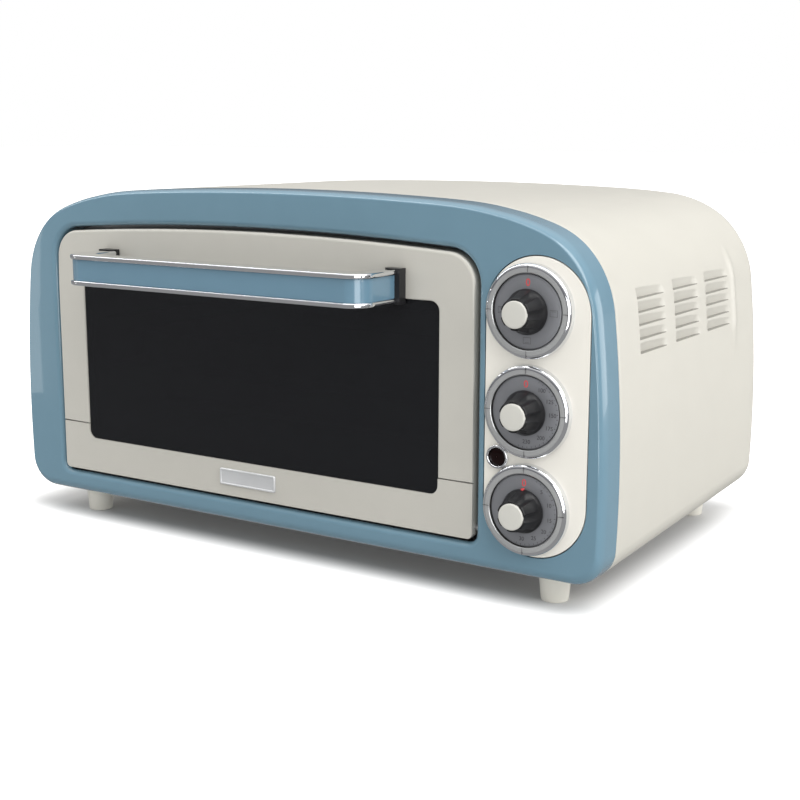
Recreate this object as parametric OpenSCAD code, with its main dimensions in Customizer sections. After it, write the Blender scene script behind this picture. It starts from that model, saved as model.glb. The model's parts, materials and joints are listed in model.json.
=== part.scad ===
// Countertop toaster oven with a drop-down glass door, three rotary controls and a rounded pressed shell.
// Millimetres, +Z up, X to the right seen from the front, Y towards the back.
// The origin is on the table, in the middle of the whole outline seen from above.
// Inside place(), Y is measured backwards from the front face of the bezel.

/* [Body] */
// Width of the body at its widest
body_w = 463.3; // [450:0.5:490]
// Height of the body's shell, without the feet
shell_h = 224; // [216:0.5:240]
// Depth from the bezel's front face to the rearmost screw head
body_d = 284; // [276:1:320]
// Radius of the top corners seen from the front
top_corner_r = 67; // [50:1:75]
// Radius of the bottom corners seen from the front
bottom_corner_r = 19; // [12:1:24]
// Radius of the gentle crown across the top
crown_r = 2260; // [1800:20:4000]
// Radius of the gentle bulge of the sides
side_r = 880; // [700:20:1600]
// How far the shoulders sag below the plain round corners
shoulder_drop = 4; // [0:0.2:4]
// How much lower the top is at the back than at the front
top_drop = 2; // [0:0.5:6]
// How much higher the underside is at the back than at the front
under_rise = 6; // [0:0.5:8]
// Rounding of the shell's rear edges at the top and sides
rear_edge_r = 22; // [20:1:30]

/* [Bezel] */
// Depth of the front bezel
bezel_d = 25; // [24:1:30]
// How far back the rounding of the bezel's outer edge reaches
bezel_edge_d = 9; // [6:1:11]
// How far in over the front face that rounding reaches
bezel_edge_in = 3; // [2:0.5:3]
// How far up over the front face that rounding reaches at the bottom
bezel_under_in = 7.5; // [3:0.5:8]
// Thickness of the bezel's front plate
bezel_t = 2; // [1.5:0.5:2.5]

/* [Feet] */
// Height of the front feet
foot_h = 19.5; // [16:0.5:24]
// Radius of a foot where it meets the shell
foot_r = 10.4; // [8:0.1:12]

/* [Door] */
// Width of the door
door_w = 341.5; // [330:0.5:342]
// Height of the door at its middle
door_h = 178.6; // [170:0.2:180]
// Sideways place of the door's middle
door_x = -23.6; // [-24.5:0.1:-23]
// Height of the door's bottom edge above the table
door_z = 37.7; // [37:0.1:40]
// Thickness of the door
door_t = 14; // [13:0.5:14]
// Dark gap between the door and the bezel
door_gap = 2.5; // [2.2:0.1:3]
// Width of the window
window_w = 293; // [270:1:295]
// Height of the window
window_h = 119; // [100:1:120]

/* [Handle] */
// Width of the handle
handle_w = 239.4; // [200:0.2:260]
// How far the handle stands out from the door
handle_out = 43; // [36:1:50]
// Height of the coloured band of the handle
band_h = 14; // [10:0.5:16]
// Height of each metal trim of the handle
trim_h = 3.2; // [2:0.1:3.4]

/* [Controls] */
// Width of the control panel
panel_w = 66.6; // [65:0.1:67]
// Height of the control panel
panel_h = 177.4; // [170:0.2:180]
// Distance between two dials
dial_pitch = 58.6; // [58:0.2:60]
// Outer radius of a dial's metal ring
ring_r = 27.8; // [24:0.2:27.8]
// Radius of a dial plate
dial_r = 21.8; // [20:0.1:21.8]
// How far a knob's cap stands out from the panel
knob_out = 21; // [18:0.5:26]

/* [Oven] */
// Width of the oven cavity
cavity_w = 305; // [300:1:306]
// Height of the oven cavity
cavity_h = 156; // [150:1:158]
// Depth of the oven cavity
cavity_d = 240.5; // [225:0.5:240.5]

/* [Hidden] */
$fn = 48;
tiny = 0.01;          // overlap that makes a cut go right through
ball = 1.15;          // size of a ball where two rods meet, against the rods' own

// Colours
blue = [0.46, 0.62, 0.70];
cream = [0.93, 0.91, 0.85];
chrome = [0.80, 0.81, 0.83];
steel = [0.62, 0.63, 0.65];
black = [0.10, 0.10, 0.11];
dial_grey = [0.42, 0.43, 0.45];
ceramic = [0.90, 0.88, 0.82];

// Body
trim_lap = 1.5;       // how far the handle's metal trims stand past its band
front_y = -(body_d - handle_out - trim_lap) / 2;   // where the bezel's front face lies in the part's frame
bottom_z = foot_h;
top_z = foot_h + shell_h;
widest_z = 75;        // height at which the body is body_w wide
sheet = 0.8;          // pressed steel sheet
shoulder_x = 178;     // where the shoulders sag most
shoulder_reach = 26;  // how far that sag spreads
rear_sag = 1.5;       // the shoulders' sag at the back
rear_crown_r = 3500;  // crown across the top at the back
rear_y = body_d - 2.7;                  // rear face of the shell, under the cover and its screws
fillet_y = rear_y - rear_edge_r;        // where the rear rounding starts
under_edge_r = 20;    // rounding of the shell's rear bottom edge
round_steps = 6;      // slices in a rounded edge
rise_angle = atan(under_rise / (fillet_y - bezel_d));

// Bezel
bezel_wall = 2.4;
lip_back = 18;        // how far back the lips round the door reach
lip_t = 2;

// Door
door_corner_r = 19;
door_crown_r = 2200;
door_foot_r = 3.5;    // radius of the door's bottom corners
door_top = door_z + door_h;
door_sheet = 2;
door_seam_z = 72.6;   // joint between the door's two front panels
door_seam = 0.5;
window_z = 62;        // bottom of the window
window_r = 6;
glass_lap = 5;        // how far the glass reaches behind the door's front
glass_t = 4;
hinge_y = 6.5;          // door hinge axis
hinge_z = 44;
pin_r = 2.5;
pin_fit = 0.05;       // running clearance of a pin or a shaft

// Handle
handle_x = door_x;
handle_z = 188.9;     // middle of the handle
handle_corner_r = 13;
handle_t = 12;        // thickness of the bar seen from above
bracket_d = 7;        // depth of the end brackets
bracket_w = 12.5;
bracket_lap = 3.4;    // how far the brackets stand past the handle's ends
screw_z = 191.5;      // handle screws

// Controls
panel_x = 188.4;
panel_z = 122.7;
panel_t = 4;        // panel with its rear flange
panel_gap = 0.6;
dial_x = 184;
dial_z = 121.2;
dial_h = 4;           // how far a dial plate stands out
ring_h = 5.2;
knob_gap = 0.6;
knob_base_r = 13;
knob_tip_r = 9.3;
cap_r = 8;
cap_h = 1.3;
shaft_r = 3;
shaft_end_y = 28;
shaft_tip_y = -16;
lamp_x = 164.5;
lamp_z = 91.9;
lamp_ring_r = 7.1;
lamp_r = 5;

// Oven
frame_y = 20;         // front face of the inner steel frame
frame_t = 1.5;
cavity_y = frame_y + frame_t;
cavity_x1 = door_x - cavity_w / 2;
cavity_x2 = door_x + cavity_w / 2;
cavity_z = 50;
cavity_back_y = cavity_y + cavity_d - sheet;
mouth_lap = 2.1;      // how far the frame reaches over the cavity's edges
shelf_zs = [111, 146];
shelf_w = 6;
heater_r = 3.5;
heater_ys = [90, 195];
heater_upper_z = 190;
heater_lower_z = 75;
shield_x = 142;
slide_gap = 0.3;      // clearance under the rack and round the tray
rack_r = 2.2;
rack_wire_r = 1.2;
rack_z = shelf_zs[0] + sheet + slide_gap + rack_r;
rack_y1 = 28;
rack_y2 = 248;
rack_wires = 21;
pan_h = 20;
tray_y1 = 27;
tray_z = cavity_z + sheet + slide_gap;
tray_h = 7;
tray_margin = 10;     // from the cavity's sides to the tray

// Back
cover_inset = 36;
cover_z = 46;         // bottom edge of the back cover
gland_x = 165;
gland_z = 85;
gland_bore_r = 3.6;

foot_x = 190;
foot_ys = [28.5, 257];
rear_foot_rise = under_rise * (foot_ys[1] - foot_r - bezel_d) / (fillet_y - bezel_d);
foot_tops = [bottom_z, bottom_z + rear_foot_rise - 0.1];

// ---- Helpers -------------------------------------------------------------

// Moves a part from the front-face frame to the part's own frame
module place() {
  translate([0, front_y, 0]) children();
}

// Extrudes an outline drawn in X and Z from one depth to another
module slab(y1, y2) {
  translate([0, y2, 0]) rotate([90, 0, 0]) linear_extrude(y2 - y1) children();
}

// Rod along Y; r1 is the radius at y1
module rod_y(x, z, y1, y2, r1, r2 = undef) {
  back_r = is_undef(r2) ? r1 : r2;
  translate([x, y2, z]) rotate([90, 0, 0]) cylinder(h = y2 - y1, r1 = back_r, r2 = r1);
}

// Rod along X
module rod_x(y, z, x1, x2, r) {
  translate([x1, y, z]) rotate([0, 90, 0]) cylinder(h = x2 - x1, r = r);
}

// Box between two corners
module box(low, high) {
  translate(low) cube(high - low);
}

// Rod between two points, with a ball at its end to join the next one
module wire(a, b, r) {
  run = b - a;
  turn = [0, acos(run[2] / norm(run)), atan2(run[1], run[0])];
  translate(a) rotate(turn) cylinder(h = norm(run), r = r, $fn = 16);
  translate(b) sphere(r = r * ball, $fn = 16);
}

function arc(cx, cy, r, a1, a2, steps) =
  [for (i = [0 : steps]) let (a = a1 + (a2 - a1) * i / steps) [cx + r * cos(a), cy + r * sin(a)]];

// Point i of n on a circle's stretch between two angles
function on_arc(centre, r, a1, a2, i, n) =
  let (a = a1 + (a2 - a1) * i / n) centre + r * [cos(a), sin(a)];

// Lowers a point of the body's outline where the shoulders sag
function sagged(p, sag) =
  let (off = (abs(p[0]) - shoulder_x) / shoulder_reach)
  p[1] > widest_z ? [p[0], p[1] - sag * exp(-off * off)] : p;

// Outline of the body seen from the front. side is how far in the sides lie,
// arch the radius across the top and sag how far the shoulders sag.
function body_outline(side, top, bottom, corner_r, arch, sag) =
  let (
    r = top_corner_r - side,
    flank_r = side_r - side,
    flank = [body_w / 2 - side_r, widest_z],
    crown = [0, top - arch],
    gap = norm(crown - flank),
    ahead = (crown - flank) / gap,
    along = (pow(flank_r - r, 2) - pow(arch - r, 2) + gap * gap) / (2 * gap),
    across = sqrt(pow(flank_r - r, 2) - along * along),
    top_c = flank + along * ahead + across * [-ahead[1], ahead[0]],
    flank_a = atan2(top_c[1] - flank[1], top_c[0] - flank[0]),
    crown_a = atan2(top_c[1] - crown[1], top_c[0]),
    foot_dz = bottom + corner_r - widest_z,
    foot_c = [flank[0] + sqrt(pow(flank_r - corner_r, 2) - foot_dz * foot_dz), bottom + corner_r],
    foot_a = atan2(foot_dz, foot_c[0] - flank[0])
  )
  [for (p = concat(
      arc(foot_c[0], foot_c[1], corner_r, -90, foot_a, 5),
      [for (i = [1 : 4]) on_arc(flank, flank_r, foot_a, flank_a, i, 5)],
      arc(top_c[0], top_c[1], r, flank_a, crown_a, 9),
      [for (i = [1 : 13]) on_arc(crown, arch, crown_a, 180 - crown_a, i, 14)],
      arc(-top_c[0], top_c[1], r, 180 - crown_a, 180 - flank_a, 9),
      [for (i = [1 : 4]) on_arc([-flank[0], flank[1]], flank_r, 180 - flank_a, 180 - foot_a, i, 5)],
      arc(-foot_c[0], foot_c[1], corner_r, 180 - foot_a, 270, 5)))
    sagged(p, sag)];

// The front outline moved in by d, and by rise at the bottom
function front_outline(d, rise) =
  body_outline(d, top_z - d, bottom_z + rise, max(bottom_corner_r - d, 4), crown_r, shoulder_drop);

// The front outline moved in by d all round
function inset_outline(d) = front_outline(d, d);

// Ring of the bezel's rounded front edge, d in from its side
function edge_ring(d) = front_outline(d, d * bezel_under_in / bezel_edge_in);

// Outline of the door moved in by d all round
function door_outline(d) =
  let (
    r = door_corner_r - d,
    half = door_w / 2 - d,
    foot_r1 = max(door_foot_r - d, 0.5),
    crown_z = door_top - door_crown_r,
    big_r = door_crown_r - d,
    cx = half - r,
    cz = crown_z + sqrt(pow(big_r - r, 2) - cx * cx),
    crown_a = atan2(cz - crown_z, cx),
    low = door_z + d
  )
  [for (p = concat(
      arc(half - foot_r1, low + foot_r1, foot_r1, -90, 0, 3),
      arc(cx, cz, r, 0, crown_a, 8),
      [for (i = [1 : 9]) let (a = crown_a + (180 - 2 * crown_a) * i / 10)
        [big_r * cos(a), crown_z + big_r * sin(a)]],
      arc(-cx, cz, r, 180 - crown_a, 180, 8),
      arc(-half + foot_r1, low + foot_r1, foot_r1, 180, 270, 3)))
    [p[0] + door_x, p[1]]];

// Rectangle with round corners about the window, grown by d
module window_shape(d) {
  r = window_r + d;
  half = window_w / 2 + d;
  low = window_z - d;
  high = window_z + window_h + d;
  translate([door_x, 0]) polygon(concat(
    arc(half - r, low + r, r, -90, 0, 6),
    arc(half - r, high - r, r, 0, 90, 6),
    arc(-half + r, high - r, r, 90, 180, 6),
    arc(-half + r, low + r, r, 180, 270, 6)));
}

// Upright shape with half-round ends, grown by d
module pill(d) {
  r = panel_w / 2 + d;
  straight = panel_h / 2 + d - r;
  translate([panel_x, panel_z]) {
    translate([0, straight]) circle(r = r);
    translate([0, -straight]) circle(r = r);
    square([2 * r, 2 * straight], center = true);
  }
}

// Outline of the handle seen from above: a bar with its ends turned back to the door
module handle_shape(grow) {
  half = handle_w / 2;
  difference() {
    handle_block(half + grow, -handle_out - grow, handle_corner_r + grow);
    handle_block(half - handle_t - grow, -handle_out + handle_t + grow, 4);
  }
}

module handle_block(half, front, r) {
  translate([handle_x, 0]) polygon(concat(
    [[half, -bracket_d]],
    [[-half, -bracket_d]],
    arc(-half + r, front + r, r, 180, 270, 8),
    arc(half - r, front + r, r, 270, 360, 8)));
}

// Height of a dial: 1 is the top one, -1 the bottom one
function dial_height(level) = dial_z + level * dial_pitch;

// ---- Shell ---------------------------------------------------------------

// Closed solid through a row of outlines in X and Z, each at its own depth
module skin(outlines, depths) {
  n = len(outlines[0]);
  last = len(outlines) - 1;
  polyhedron(
    points = [for (i = [0 : last]) for (p = outlines[i]) [p[0], depths[i], p[1]]],
    faces = concat(
      [[for (j = [n - 1 : -1 : 0]) j]],
      [for (i = [0 : last - 1]) for (j = [0 : n - 1]) let (k = (j + 1) % n)
        each [[i * n + j, i * n + k, (i + 1) * n + k], [i * n + j, (i + 1) * n + k, (i + 1) * n + j]]],
      [[for (j = [0 : n - 1]) last * n + j]]));
}

// Angles of the steps that round an edge
function turns() = [for (i = [0 : round_steps]) 90 * i / round_steps];

// Solid with the bezel's outer form
module bezel_solid() {
  skin(
    concat([for (a = turns()) edge_ring(bezel_edge_in * (1 - sin(a)))], [inset_outline(0)]),
    concat([for (a = turns()) bezel_edge_d * (1 - cos(a))], [bezel_d]));
}

module bezel_hollow() {
  skin(
    [edge_ring(bezel_edge_in + 1), inset_outline(bezel_wall), inset_outline(bezel_wall)],
    [bezel_t, bezel_edge_d, bezel_d + 1]);
}

// Lips that reach back at the door opening's sides and top
module bezel_lips() {
  difference() {
    slab(bezel_t - tiny, lip_back) polygon(door_outline(-door_gap - lip_t));
    slab(0, lip_back + tiny) polygon(door_outline(-door_gap));
    box([-body_w, 0, 0], [body_w, lip_back + 1, door_z + 1]);
  }
}

module front_bezel() {
  color(blue) place() difference() {
    union() {
      difference() {
        bezel_solid();
        bezel_hollow();
      }
      bezel_lips();
    }
    slab(-tiny, bezel_t + tiny) polygon(door_outline(-door_gap));
    slab(-tiny, bezel_t + tiny) pill(panel_gap);
    rod_x(hinge_y, hinge_z, door_x - door_w / 2 - door_gap - lip_t - 1, cavity_x1, pin_r + 0.8);
    rod_x(hinge_y, hinge_z, cavity_x2, door_x + door_w / 2 + door_gap + lip_t + 1, pin_r + 0.8);
  }
}

// Outline of the shell where its rear edge has turned by an angle, moved in by d
function rear_round(a, d) =
  let (
    side = d + (rear_edge_r - d) * (1 - cos(a)),
    low = d + (under_edge_r - d) * (1 - cos(a))
  )
  body_outline(side, top_z - top_drop - side, bottom_z + under_rise + low, max(bottom_corner_r - side, 4),
    rear_crown_r, rear_sag);

// Solid with the shell's outer form, moved in by d and started at a depth
module shell_solid(d, start) {
  skin(
    concat([inset_outline(d)], [for (a = turns()) rear_round(a, d)]),
    concat([start], [for (a = turns()) fillet_y + (rear_edge_r - d) * sin(a)]));
}

// Slots behind the louvres of both sides
louvre_cols = 3;
louvre_rows = 5;
louvre_y = 57.3;
louvre_pitch_y = 57.4;
louvre_w = 43.5;
louvre_top_z = 183.7;
louvre_pitch_z = 8.13;
slot_h = 2.6;
module louvre_slots() {
  for (col = [0 : louvre_cols - 1])
    for (row = [0 : louvre_rows - 1])
      translate([-body_w, louvre_y + col * louvre_pitch_y, louvre_top_z - row * louvre_pitch_z])
        cube([2 * body_w, louvre_w, slot_h]);
}

// Opening in the shell's rear, and the cover that closes it
function rear_outline(inset, bottom) =
  body_outline(inset, top_z - top_drop - inset, bottom, 6, rear_crown_r, rear_sag);

module body_shell() {
  color(cream) place() difference() {
    union() {
      difference() {
        shell_solid(0, bezel_d);
        shell_solid(sheet, bezel_d - 1);
        slab(rear_y - 2, rear_y + 1) polygon(rear_outline(cover_inset + 10, cover_z + 4));
      }
      difference() {
        slab(bezel_d, bezel_d + sheet) polygon(inset_outline(0.5));
        slab(bezel_d - tiny, bezel_d + 2) polygon(inset_outline(bezel_wall + 1.4));
      }
      difference() {
        slab(cavity_y, bezel_d + 0.5) polygon(inset_outline(bezel_wall + 0.2));
        slab(cavity_y - tiny, bezel_d + 2) polygon(inset_outline(bezel_wall + 1.4));
      }
    }
    louvre_slots();
    box([-185, 48, 0], [185, 225, bottom_z + 15]);
    for (x = [-foot_x, foot_x])
      for (y = foot_ys)
        translate([x, y, bottom_z - 5]) cylinder(h = 20, r = 2.2);
  }
}

case_screw_places = [[188, 62], [186, 150], [80, 199]];

module back_cover() {
  slot_l = 46;
  slot_w = 4;
  slot_cols = 5;
  slot_rows = 6;
  color(cream) place() difference() {
    slab(rear_y, rear_y + sheet) polygon(rear_outline(cover_inset, cover_z));
    for (col = [0 : slot_cols - 1])
      for (row = [0 : slot_rows - 1])
        translate([-150 + col * 56, rear_y - 1, 118 + row * 13]) cube([slot_l, 5, slot_w]);
    box([cavity_x1 + tray_margin, rear_y - 1, tray_z - slide_gap],
        [cavity_x2 - tray_margin, rear_y + 2, tray_z + tray_h + 1]);
    rod_y(gland_x, gland_z, rear_y - 1, rear_y + 2, 7.1);
    for (side = [-1, 1])
      for (p = case_screw_places)
        rod_y(side * p[0], p[1], rear_y - 1, rear_y + 2, 2.1);
  }
}

module case_screws() {
  color(steel) place()
    for (side = [-1, 1])
      for (p = case_screw_places) {
        rod_y(side * p[0], p[1], rear_y + sheet, body_d, 3.6, 2.8);
        rod_y(side * p[0], p[1], rear_y, rear_y + sheet + tiny, 2.0);
      }
}

module base_plate() {
  plate_gap = 0.1;
  plate_w = 396;
  plate_l = 210;
  plate_start = 8;
  vents = 16;
  vent_w = 3.5;
  color(steel) place()
    translate([0, bezel_d, bottom_z + sheet + plate_gap]) rotate([rise_angle, 0, 0]) difference() {
      translate([-plate_w / 2, plate_start, 0]) cube([plate_w, plate_l, sheet]);
      for (i = [0 : vents - 1])
        translate([(i - (vents - 1) / 2) * 20 - vent_w / 2, 60, -1]) cube([vent_w, 90, 4]);
    }
}

module feet() {
  bore_z = 8.6;
  color(cream) place()
    for (x = [-foot_x, foot_x])
      for (i = [0, 1])
        translate([x, foot_ys[i], 0]) difference() {
          cylinder(h = foot_tops[i], r1 = foot_r - 1.8, r2 = foot_r);
          translate([0, 0, -1]) cylinder(h = bore_z + 1, r = 4.4);
          cylinder(h = 60, r = 2.1);
        }
}

module foot_screws() {
  head_z = 6;
  color(steel) place()
    for (x = [-foot_x, foot_x])
      for (i = [0, 1])
        translate([x, foot_ys[i], head_z]) {
          cylinder(h = 2.6, r = 3.8);
          cylinder(h = foot_tops[i] - head_z + 6, r = 2);
        }
}

// ---- Inner frame and oven ------------------------------------------------

module front_frame() {
  color(steel) place() difference() {
    slab(frame_y, cavity_y) polygon(inset_outline(bezel_wall + 0.3));
    box([cavity_x1 + mouth_lap, frame_y - 1, cavity_z + mouth_lap],
        [cavity_x2 - mouth_lap, cavity_y + 1, cavity_z + cavity_h - mouth_lap]);
    box([dial_x - 26, frame_y - 1, dial_height(-1) - 26], [dial_x + 26, cavity_y + 1, dial_height(1) + 24]);
  }
}

module oven_cavity() {
  color(steel) place() difference() {
    union() {
      difference() {
        box([cavity_x1, cavity_y, cavity_z], [cavity_x2, cavity_back_y, cavity_z + cavity_h]);
        box([cavity_x1 + sheet, cavity_y - 1, cavity_z + sheet],
            [cavity_x2 - sheet, cavity_back_y + 1, cavity_z + cavity_h - sheet]);
      }
      for (z = shelf_zs) {
        box([cavity_x1, cavity_y + 2, z], [cavity_x1 + shelf_w, cavity_back_y - 4, z + sheet]);
        box([cavity_x2 - shelf_w, cavity_y + 2, z], [cavity_x2, cavity_back_y - 4, z + sheet]);
      }
    }
    for (y = heater_ys)
      for (z = [heater_upper_z, heater_lower_z])
        rod_x(y, z, cavity_x1 - 5, cavity_x2 + 5, heater_r + 0.7);
    rod_x(120, 176, cavity_x2 - 5, cavity_x2 + 5, 2);
  }
}

module cavity_back() {
  color(steel) place() difference() {
    box([cavity_x1, cavity_back_y, cavity_z], [cavity_x2, cavity_back_y + sheet, cavity_z + cavity_h]);
    box([cavity_x1 + tray_margin, cavity_back_y - 1, tray_z - slide_gap],
        [cavity_x2 - tray_margin, cavity_back_y + 3, tray_z + tray_h + 1]);
  }
}

module heat_shield() {
  color(steel) place() difference() {
    box([shield_x, cavity_y, 48], [shield_x + 1, cavity_back_y, 212]);
    for (i = [0 : 3])
      box([shield_x - 1, 60 + i * 50, 196], [shield_x + 2, 90 + i * 50, 200]);
    rod_x(120, 176, shield_x - 1, shield_x + 2, 3);
  }
}

// Heating rods along X, with a terminal pin at each end
module heater_pair(z) {
  end_x = 8;
  color(steel) place()
    for (y = heater_ys) {
      rod_x(y, z, cavity_x1 - end_x, cavity_x2 + end_x, heater_r);
      rod_x(y, z, cavity_x1 - end_x - 4, cavity_x2 + end_x + 3, 1.5);
    }
}

module heater_upper() {
  heater_pair(heater_upper_z);
}

module heater_lower() {
  heater_pair(heater_lower_z);
}

module heater_insulators() {
  length = 7;
  color(ceramic) place()
    for (y = heater_ys)
      for (z = [heater_upper_z, heater_lower_z])
        for (x = [cavity_x1 - length, cavity_x2])
          difference() {
            rod_x(y, z, x, x + length, 7.5);
            rod_x(y, z, x - 1, x + length + 1, heater_r + 0.05);
          }
}

// ---- Controls ------------------------------------------------------------

module control_panel() {
  color(cream) place() difference() {
    union() {
      slab(0, bezel_t) pill(0);
      slab(bezel_t, panel_t) intersection() {
        pill(2.5);
        polygon(edge_ring(bezel_edge_in + 1.3));
        translate([door_x + door_w / 2 + door_gap + lip_t + 0.4, 0]) square([100, 300]);
      }
    }
    for (level = [-1 : 1])
      rod_y(dial_x, dial_height(level), -1, panel_t + 1, shaft_r + 0.6);
    rod_y(lamp_x, lamp_z, -1, panel_t + 1, lamp_r + 0.1);
  }
}

// Metal ring with a bevelled outer edge
module dial_ring(level) {
  color(chrome) place() translate([dial_x, 0, dial_height(level)]) rotate([90, 0, 0])
    rotate_extrude($fn = 72) polygon([[dial_r + 0.2, 0], [ring_r, 0], [ring_r, 1.4],
      [ring_r - 1.8, ring_h - 0.4], [ring_r - 2.8, ring_h], [dial_r + 0.2, ring_h - 0.5]]);
}

module dial_ring_function() {
  dial_ring(1);
}

module dial_ring_thermostat() {
  dial_ring(0);
}

module dial_ring_timer() {
  dial_ring(-1);
}

module dial_plate(level) {
  color(dial_grey) place() difference() {
    rod_y(dial_x, dial_height(level), -dial_h, 0, dial_r);
    rod_y(dial_x, dial_height(level), -dial_h - 1, 1, shaft_r + 0.6);
  }
}

module dial_plate_function() {
  dial_plate(1);
}

module dial_plate_thermostat() {
  dial_plate(0);
}

module dial_plate_timer() {
  dial_plate(-1);
}

// Tapered knob with a small pointer at its foot
module knob(level) {
  z = dial_height(level);
  foot_y = -dial_h - knob_gap;
  tip_y = -knob_out + cap_h;
  color(black) place() difference() {
    union() {
      rod_y(dial_x, z, tip_y, foot_y, knob_tip_r, knob_base_r);
      box([dial_x - 1, foot_y - 2, z + knob_base_r - 2], [dial_x + 1, foot_y, z + knob_base_r + 0.8]);
    }
    rod_y(dial_x, z, shaft_tip_y - 0.1, 0, shaft_r + 0.02);
  }
}

module knob_function() {
  knob(1);
}

module knob_thermostat() {
  knob(0);
}

module knob_timer() {
  knob(-1);
}

module knob_cap(level) {
  color(cream) place()
    rod_y(dial_x, dial_height(level), -knob_out, -knob_out + cap_h, cap_r);
}

module knob_cap_function() {
  knob_cap(1);
}

module knob_cap_thermostat() {
  knob_cap(0);
}

module knob_cap_timer() {
  knob_cap(-1);
}

module shaft(level) {
  color(steel) place()
    rod_y(dial_x, dial_height(level), shaft_tip_y, shaft_end_y, shaft_r);
}

module shaft_function() {
  shaft(1);
}

module shaft_thermostat() {
  shaft(0);
}

module shaft_timer() {
  shaft(-1);
}

// Bore that a control shaft turns in
module shaft_bore(level) {
  rod_y(dial_x, dial_height(level), panel_t - 1, shaft_end_y + 0.4, shaft_r + pin_fit);
}

// Row of flat terminals on the back of a control
module terminals(level, y, count) {
  for (i = [0 : count - 1])
    translate([dial_x - 12 + i * 8, y - tiny, dial_height(level) + 9]) cube([0.8, 8, 6.3]);
}

module function_switch() {
  z = dial_height(1);
  back_y = 32;
  color([0.2, 0.2, 0.22]) place() {
    difference() {
      rod_y(dial_x, z, panel_t, back_y, 19);
      shaft_bore(1);
    }
    terminals(1, back_y, 4);
  }
}

module thermostat_body() {
  z = dial_height(0);
  back_y = 36;
  color([0.85, 0.83, 0.78]) place() {
    difference() {
      union() {
        box([dial_x - 17, panel_t, z - 15], [dial_x + 17, back_y - 8, z + 15]);
        rod_y(dial_x, z, back_y - 9, back_y, 11);
      }
      shaft_bore(0);
    }
  }
}

// Round bulb beside the cavity's wall, and the fine tube that joins it to the thermostat
module thermostat_bulb() {
  path = [[dial_x, 36, dial_z], [dial_x, 60, dial_z + 15], [160, 100, 170], [150, 120, 176], [122, 120, 176]];
  color([0.72, 0.45, 0.28]) place() {
    rod_y(119.5, 176, 118, 178, 2.6);
    for (i = [0 : len(path) - 2])
      wire(path[i], path[i + 1], 0.9);
  }
}

module timer_body() {
  z = dial_height(-1);
  back_y = 34;
  color([0.66, 0.62, 0.52]) place() difference() {
    box([dial_x - 20, panel_t, z - 20], [dial_x + 20, back_y, z + 20]);
    shaft_bore(-1);
  }
}

// Bell cup on a short post behind the timer
module timer_bell() {
  z = dial_height(-1);
  color(steel) place() translate([dial_x, 34, z]) rotate([-90, 0, 0]) {
    cylinder(h = 9, r = 2);
    translate([0, 0, 8]) rotate_extrude()
      polygon([[0, 0], [8, 0], [15, 3], [17, 9], [16, 9], [14.2, 3.8], [7.8, 1], [0, 1]]);
  }
}

module pilot_lamp_ring() {
  color(chrome) place() difference() {
    rod_y(lamp_x, lamp_z, -2.4, 0, lamp_ring_r - 0.6, lamp_ring_r);
    rod_y(lamp_x, lamp_z, -3, 1, lamp_r + 0.7);
  }
}

module pilot_lamp_lens() {
  color([0.25, 0.04, 0.03]) place()
    rod_y(lamp_x, lamp_z, -1.8, 0, lamp_r - 0.4, lamp_r + 0.5);
}

module pilot_lamp_body() {
  color([0.85, 0.85, 0.82]) place() {
    rod_y(lamp_x, lamp_z, 0, 24, lamp_r);
    box([lamp_x - 3, 24 - tiny, lamp_z - 0.4], [lamp_x - 2, 31, lamp_z + 0.4]);
    box([lamp_x + 2, 24 - tiny, lamp_z - 0.4], [lamp_x + 3, 31, lamp_z + 0.4]);
  }
}

module terminal_block() {
  color([0.92, 0.92, 0.9]) place() difference() {
    box([shield_x + 1, 196, 90], [shield_x + 17, 236, 104]);
    for (i = [0 : 2])
      translate([shield_x + 9, 203 + i * 13, 98]) cylinder(h = 10, r = 2.6);
  }
}

// Insulated leads between the controls and the terminal block
module wiring() {
  lead_r = 1.3;
  tab_z = dial_height(1) + 12;
  screw_x = shield_x + 9;
  screw_bottom = 99.3;
  joins = [
    [[dial_x - 3.6, 41, tab_z], [176, 60, 196], [170, 120, 160], [screw_x, 203, 116],
      [screw_x, 203, screw_bottom]],
    [[lamp_x - 2.5, 32.5, lamp_z], [162, 60, 96], [170, 150, 110], [166, 216, 112], [screw_x, 216, 111],
      [screw_x, 216, screw_bottom]],
    [[dial_x + 4.4, 41, tab_z], [204, 60, 170], [204, 60, 100], [196, 35, 78]]];
  color([0.75, 0.2, 0.15]) place()
    for (lead = joins) {
      translate(lead[0]) sphere(r = lead_r * ball, $fn = 16);
      for (i = [0 : len(lead) - 2])
        wire(lead[i], lead[i + 1], lead_r);
    }
}

module cord_gland() {
  color(black) place() difference() {
    union() {
      rod_y(gland_x, gland_z, rear_y + sheet, body_d, 9.5, 8.5);
      rod_y(gland_x, gland_z, rear_y - 12, rear_y + sheet + tiny, 7);
      rod_y(gland_x, gland_z, rear_y - 4, rear_y, 9.5);
    }
    rod_y(gland_x, gland_z, rear_y - 20, body_d + 1, gland_bore_r);
  }
}

// ---- Door ----------------------------------------------------------------

// Pressed front with turned-back edges, between two heights
module door_front(low, high) {
  difference() {
    intersection() {
      slab(0, door_t) polygon(door_outline(0));
      box([-body_w, -1, low], [body_w, door_t + 1, high]);
    }
    slab(door_sheet, door_t + 1) polygon(door_outline(door_sheet));
    slab(-1, door_t) window_shape(0);
    for (side = [-1, 1])
      rod_x(hinge_y, hinge_z, door_x + side * door_w / 2 - 4, door_x + side * door_w / 2 + 4, pin_r + 0.1);
    handle_screw_holes(1.8);
  }
}

module handle_screw_holes(r) {
  for (x = handle_screw_xs)
    rod_y(x, screw_z, -bracket_d + 1, door_t + 1, r);
}

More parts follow.
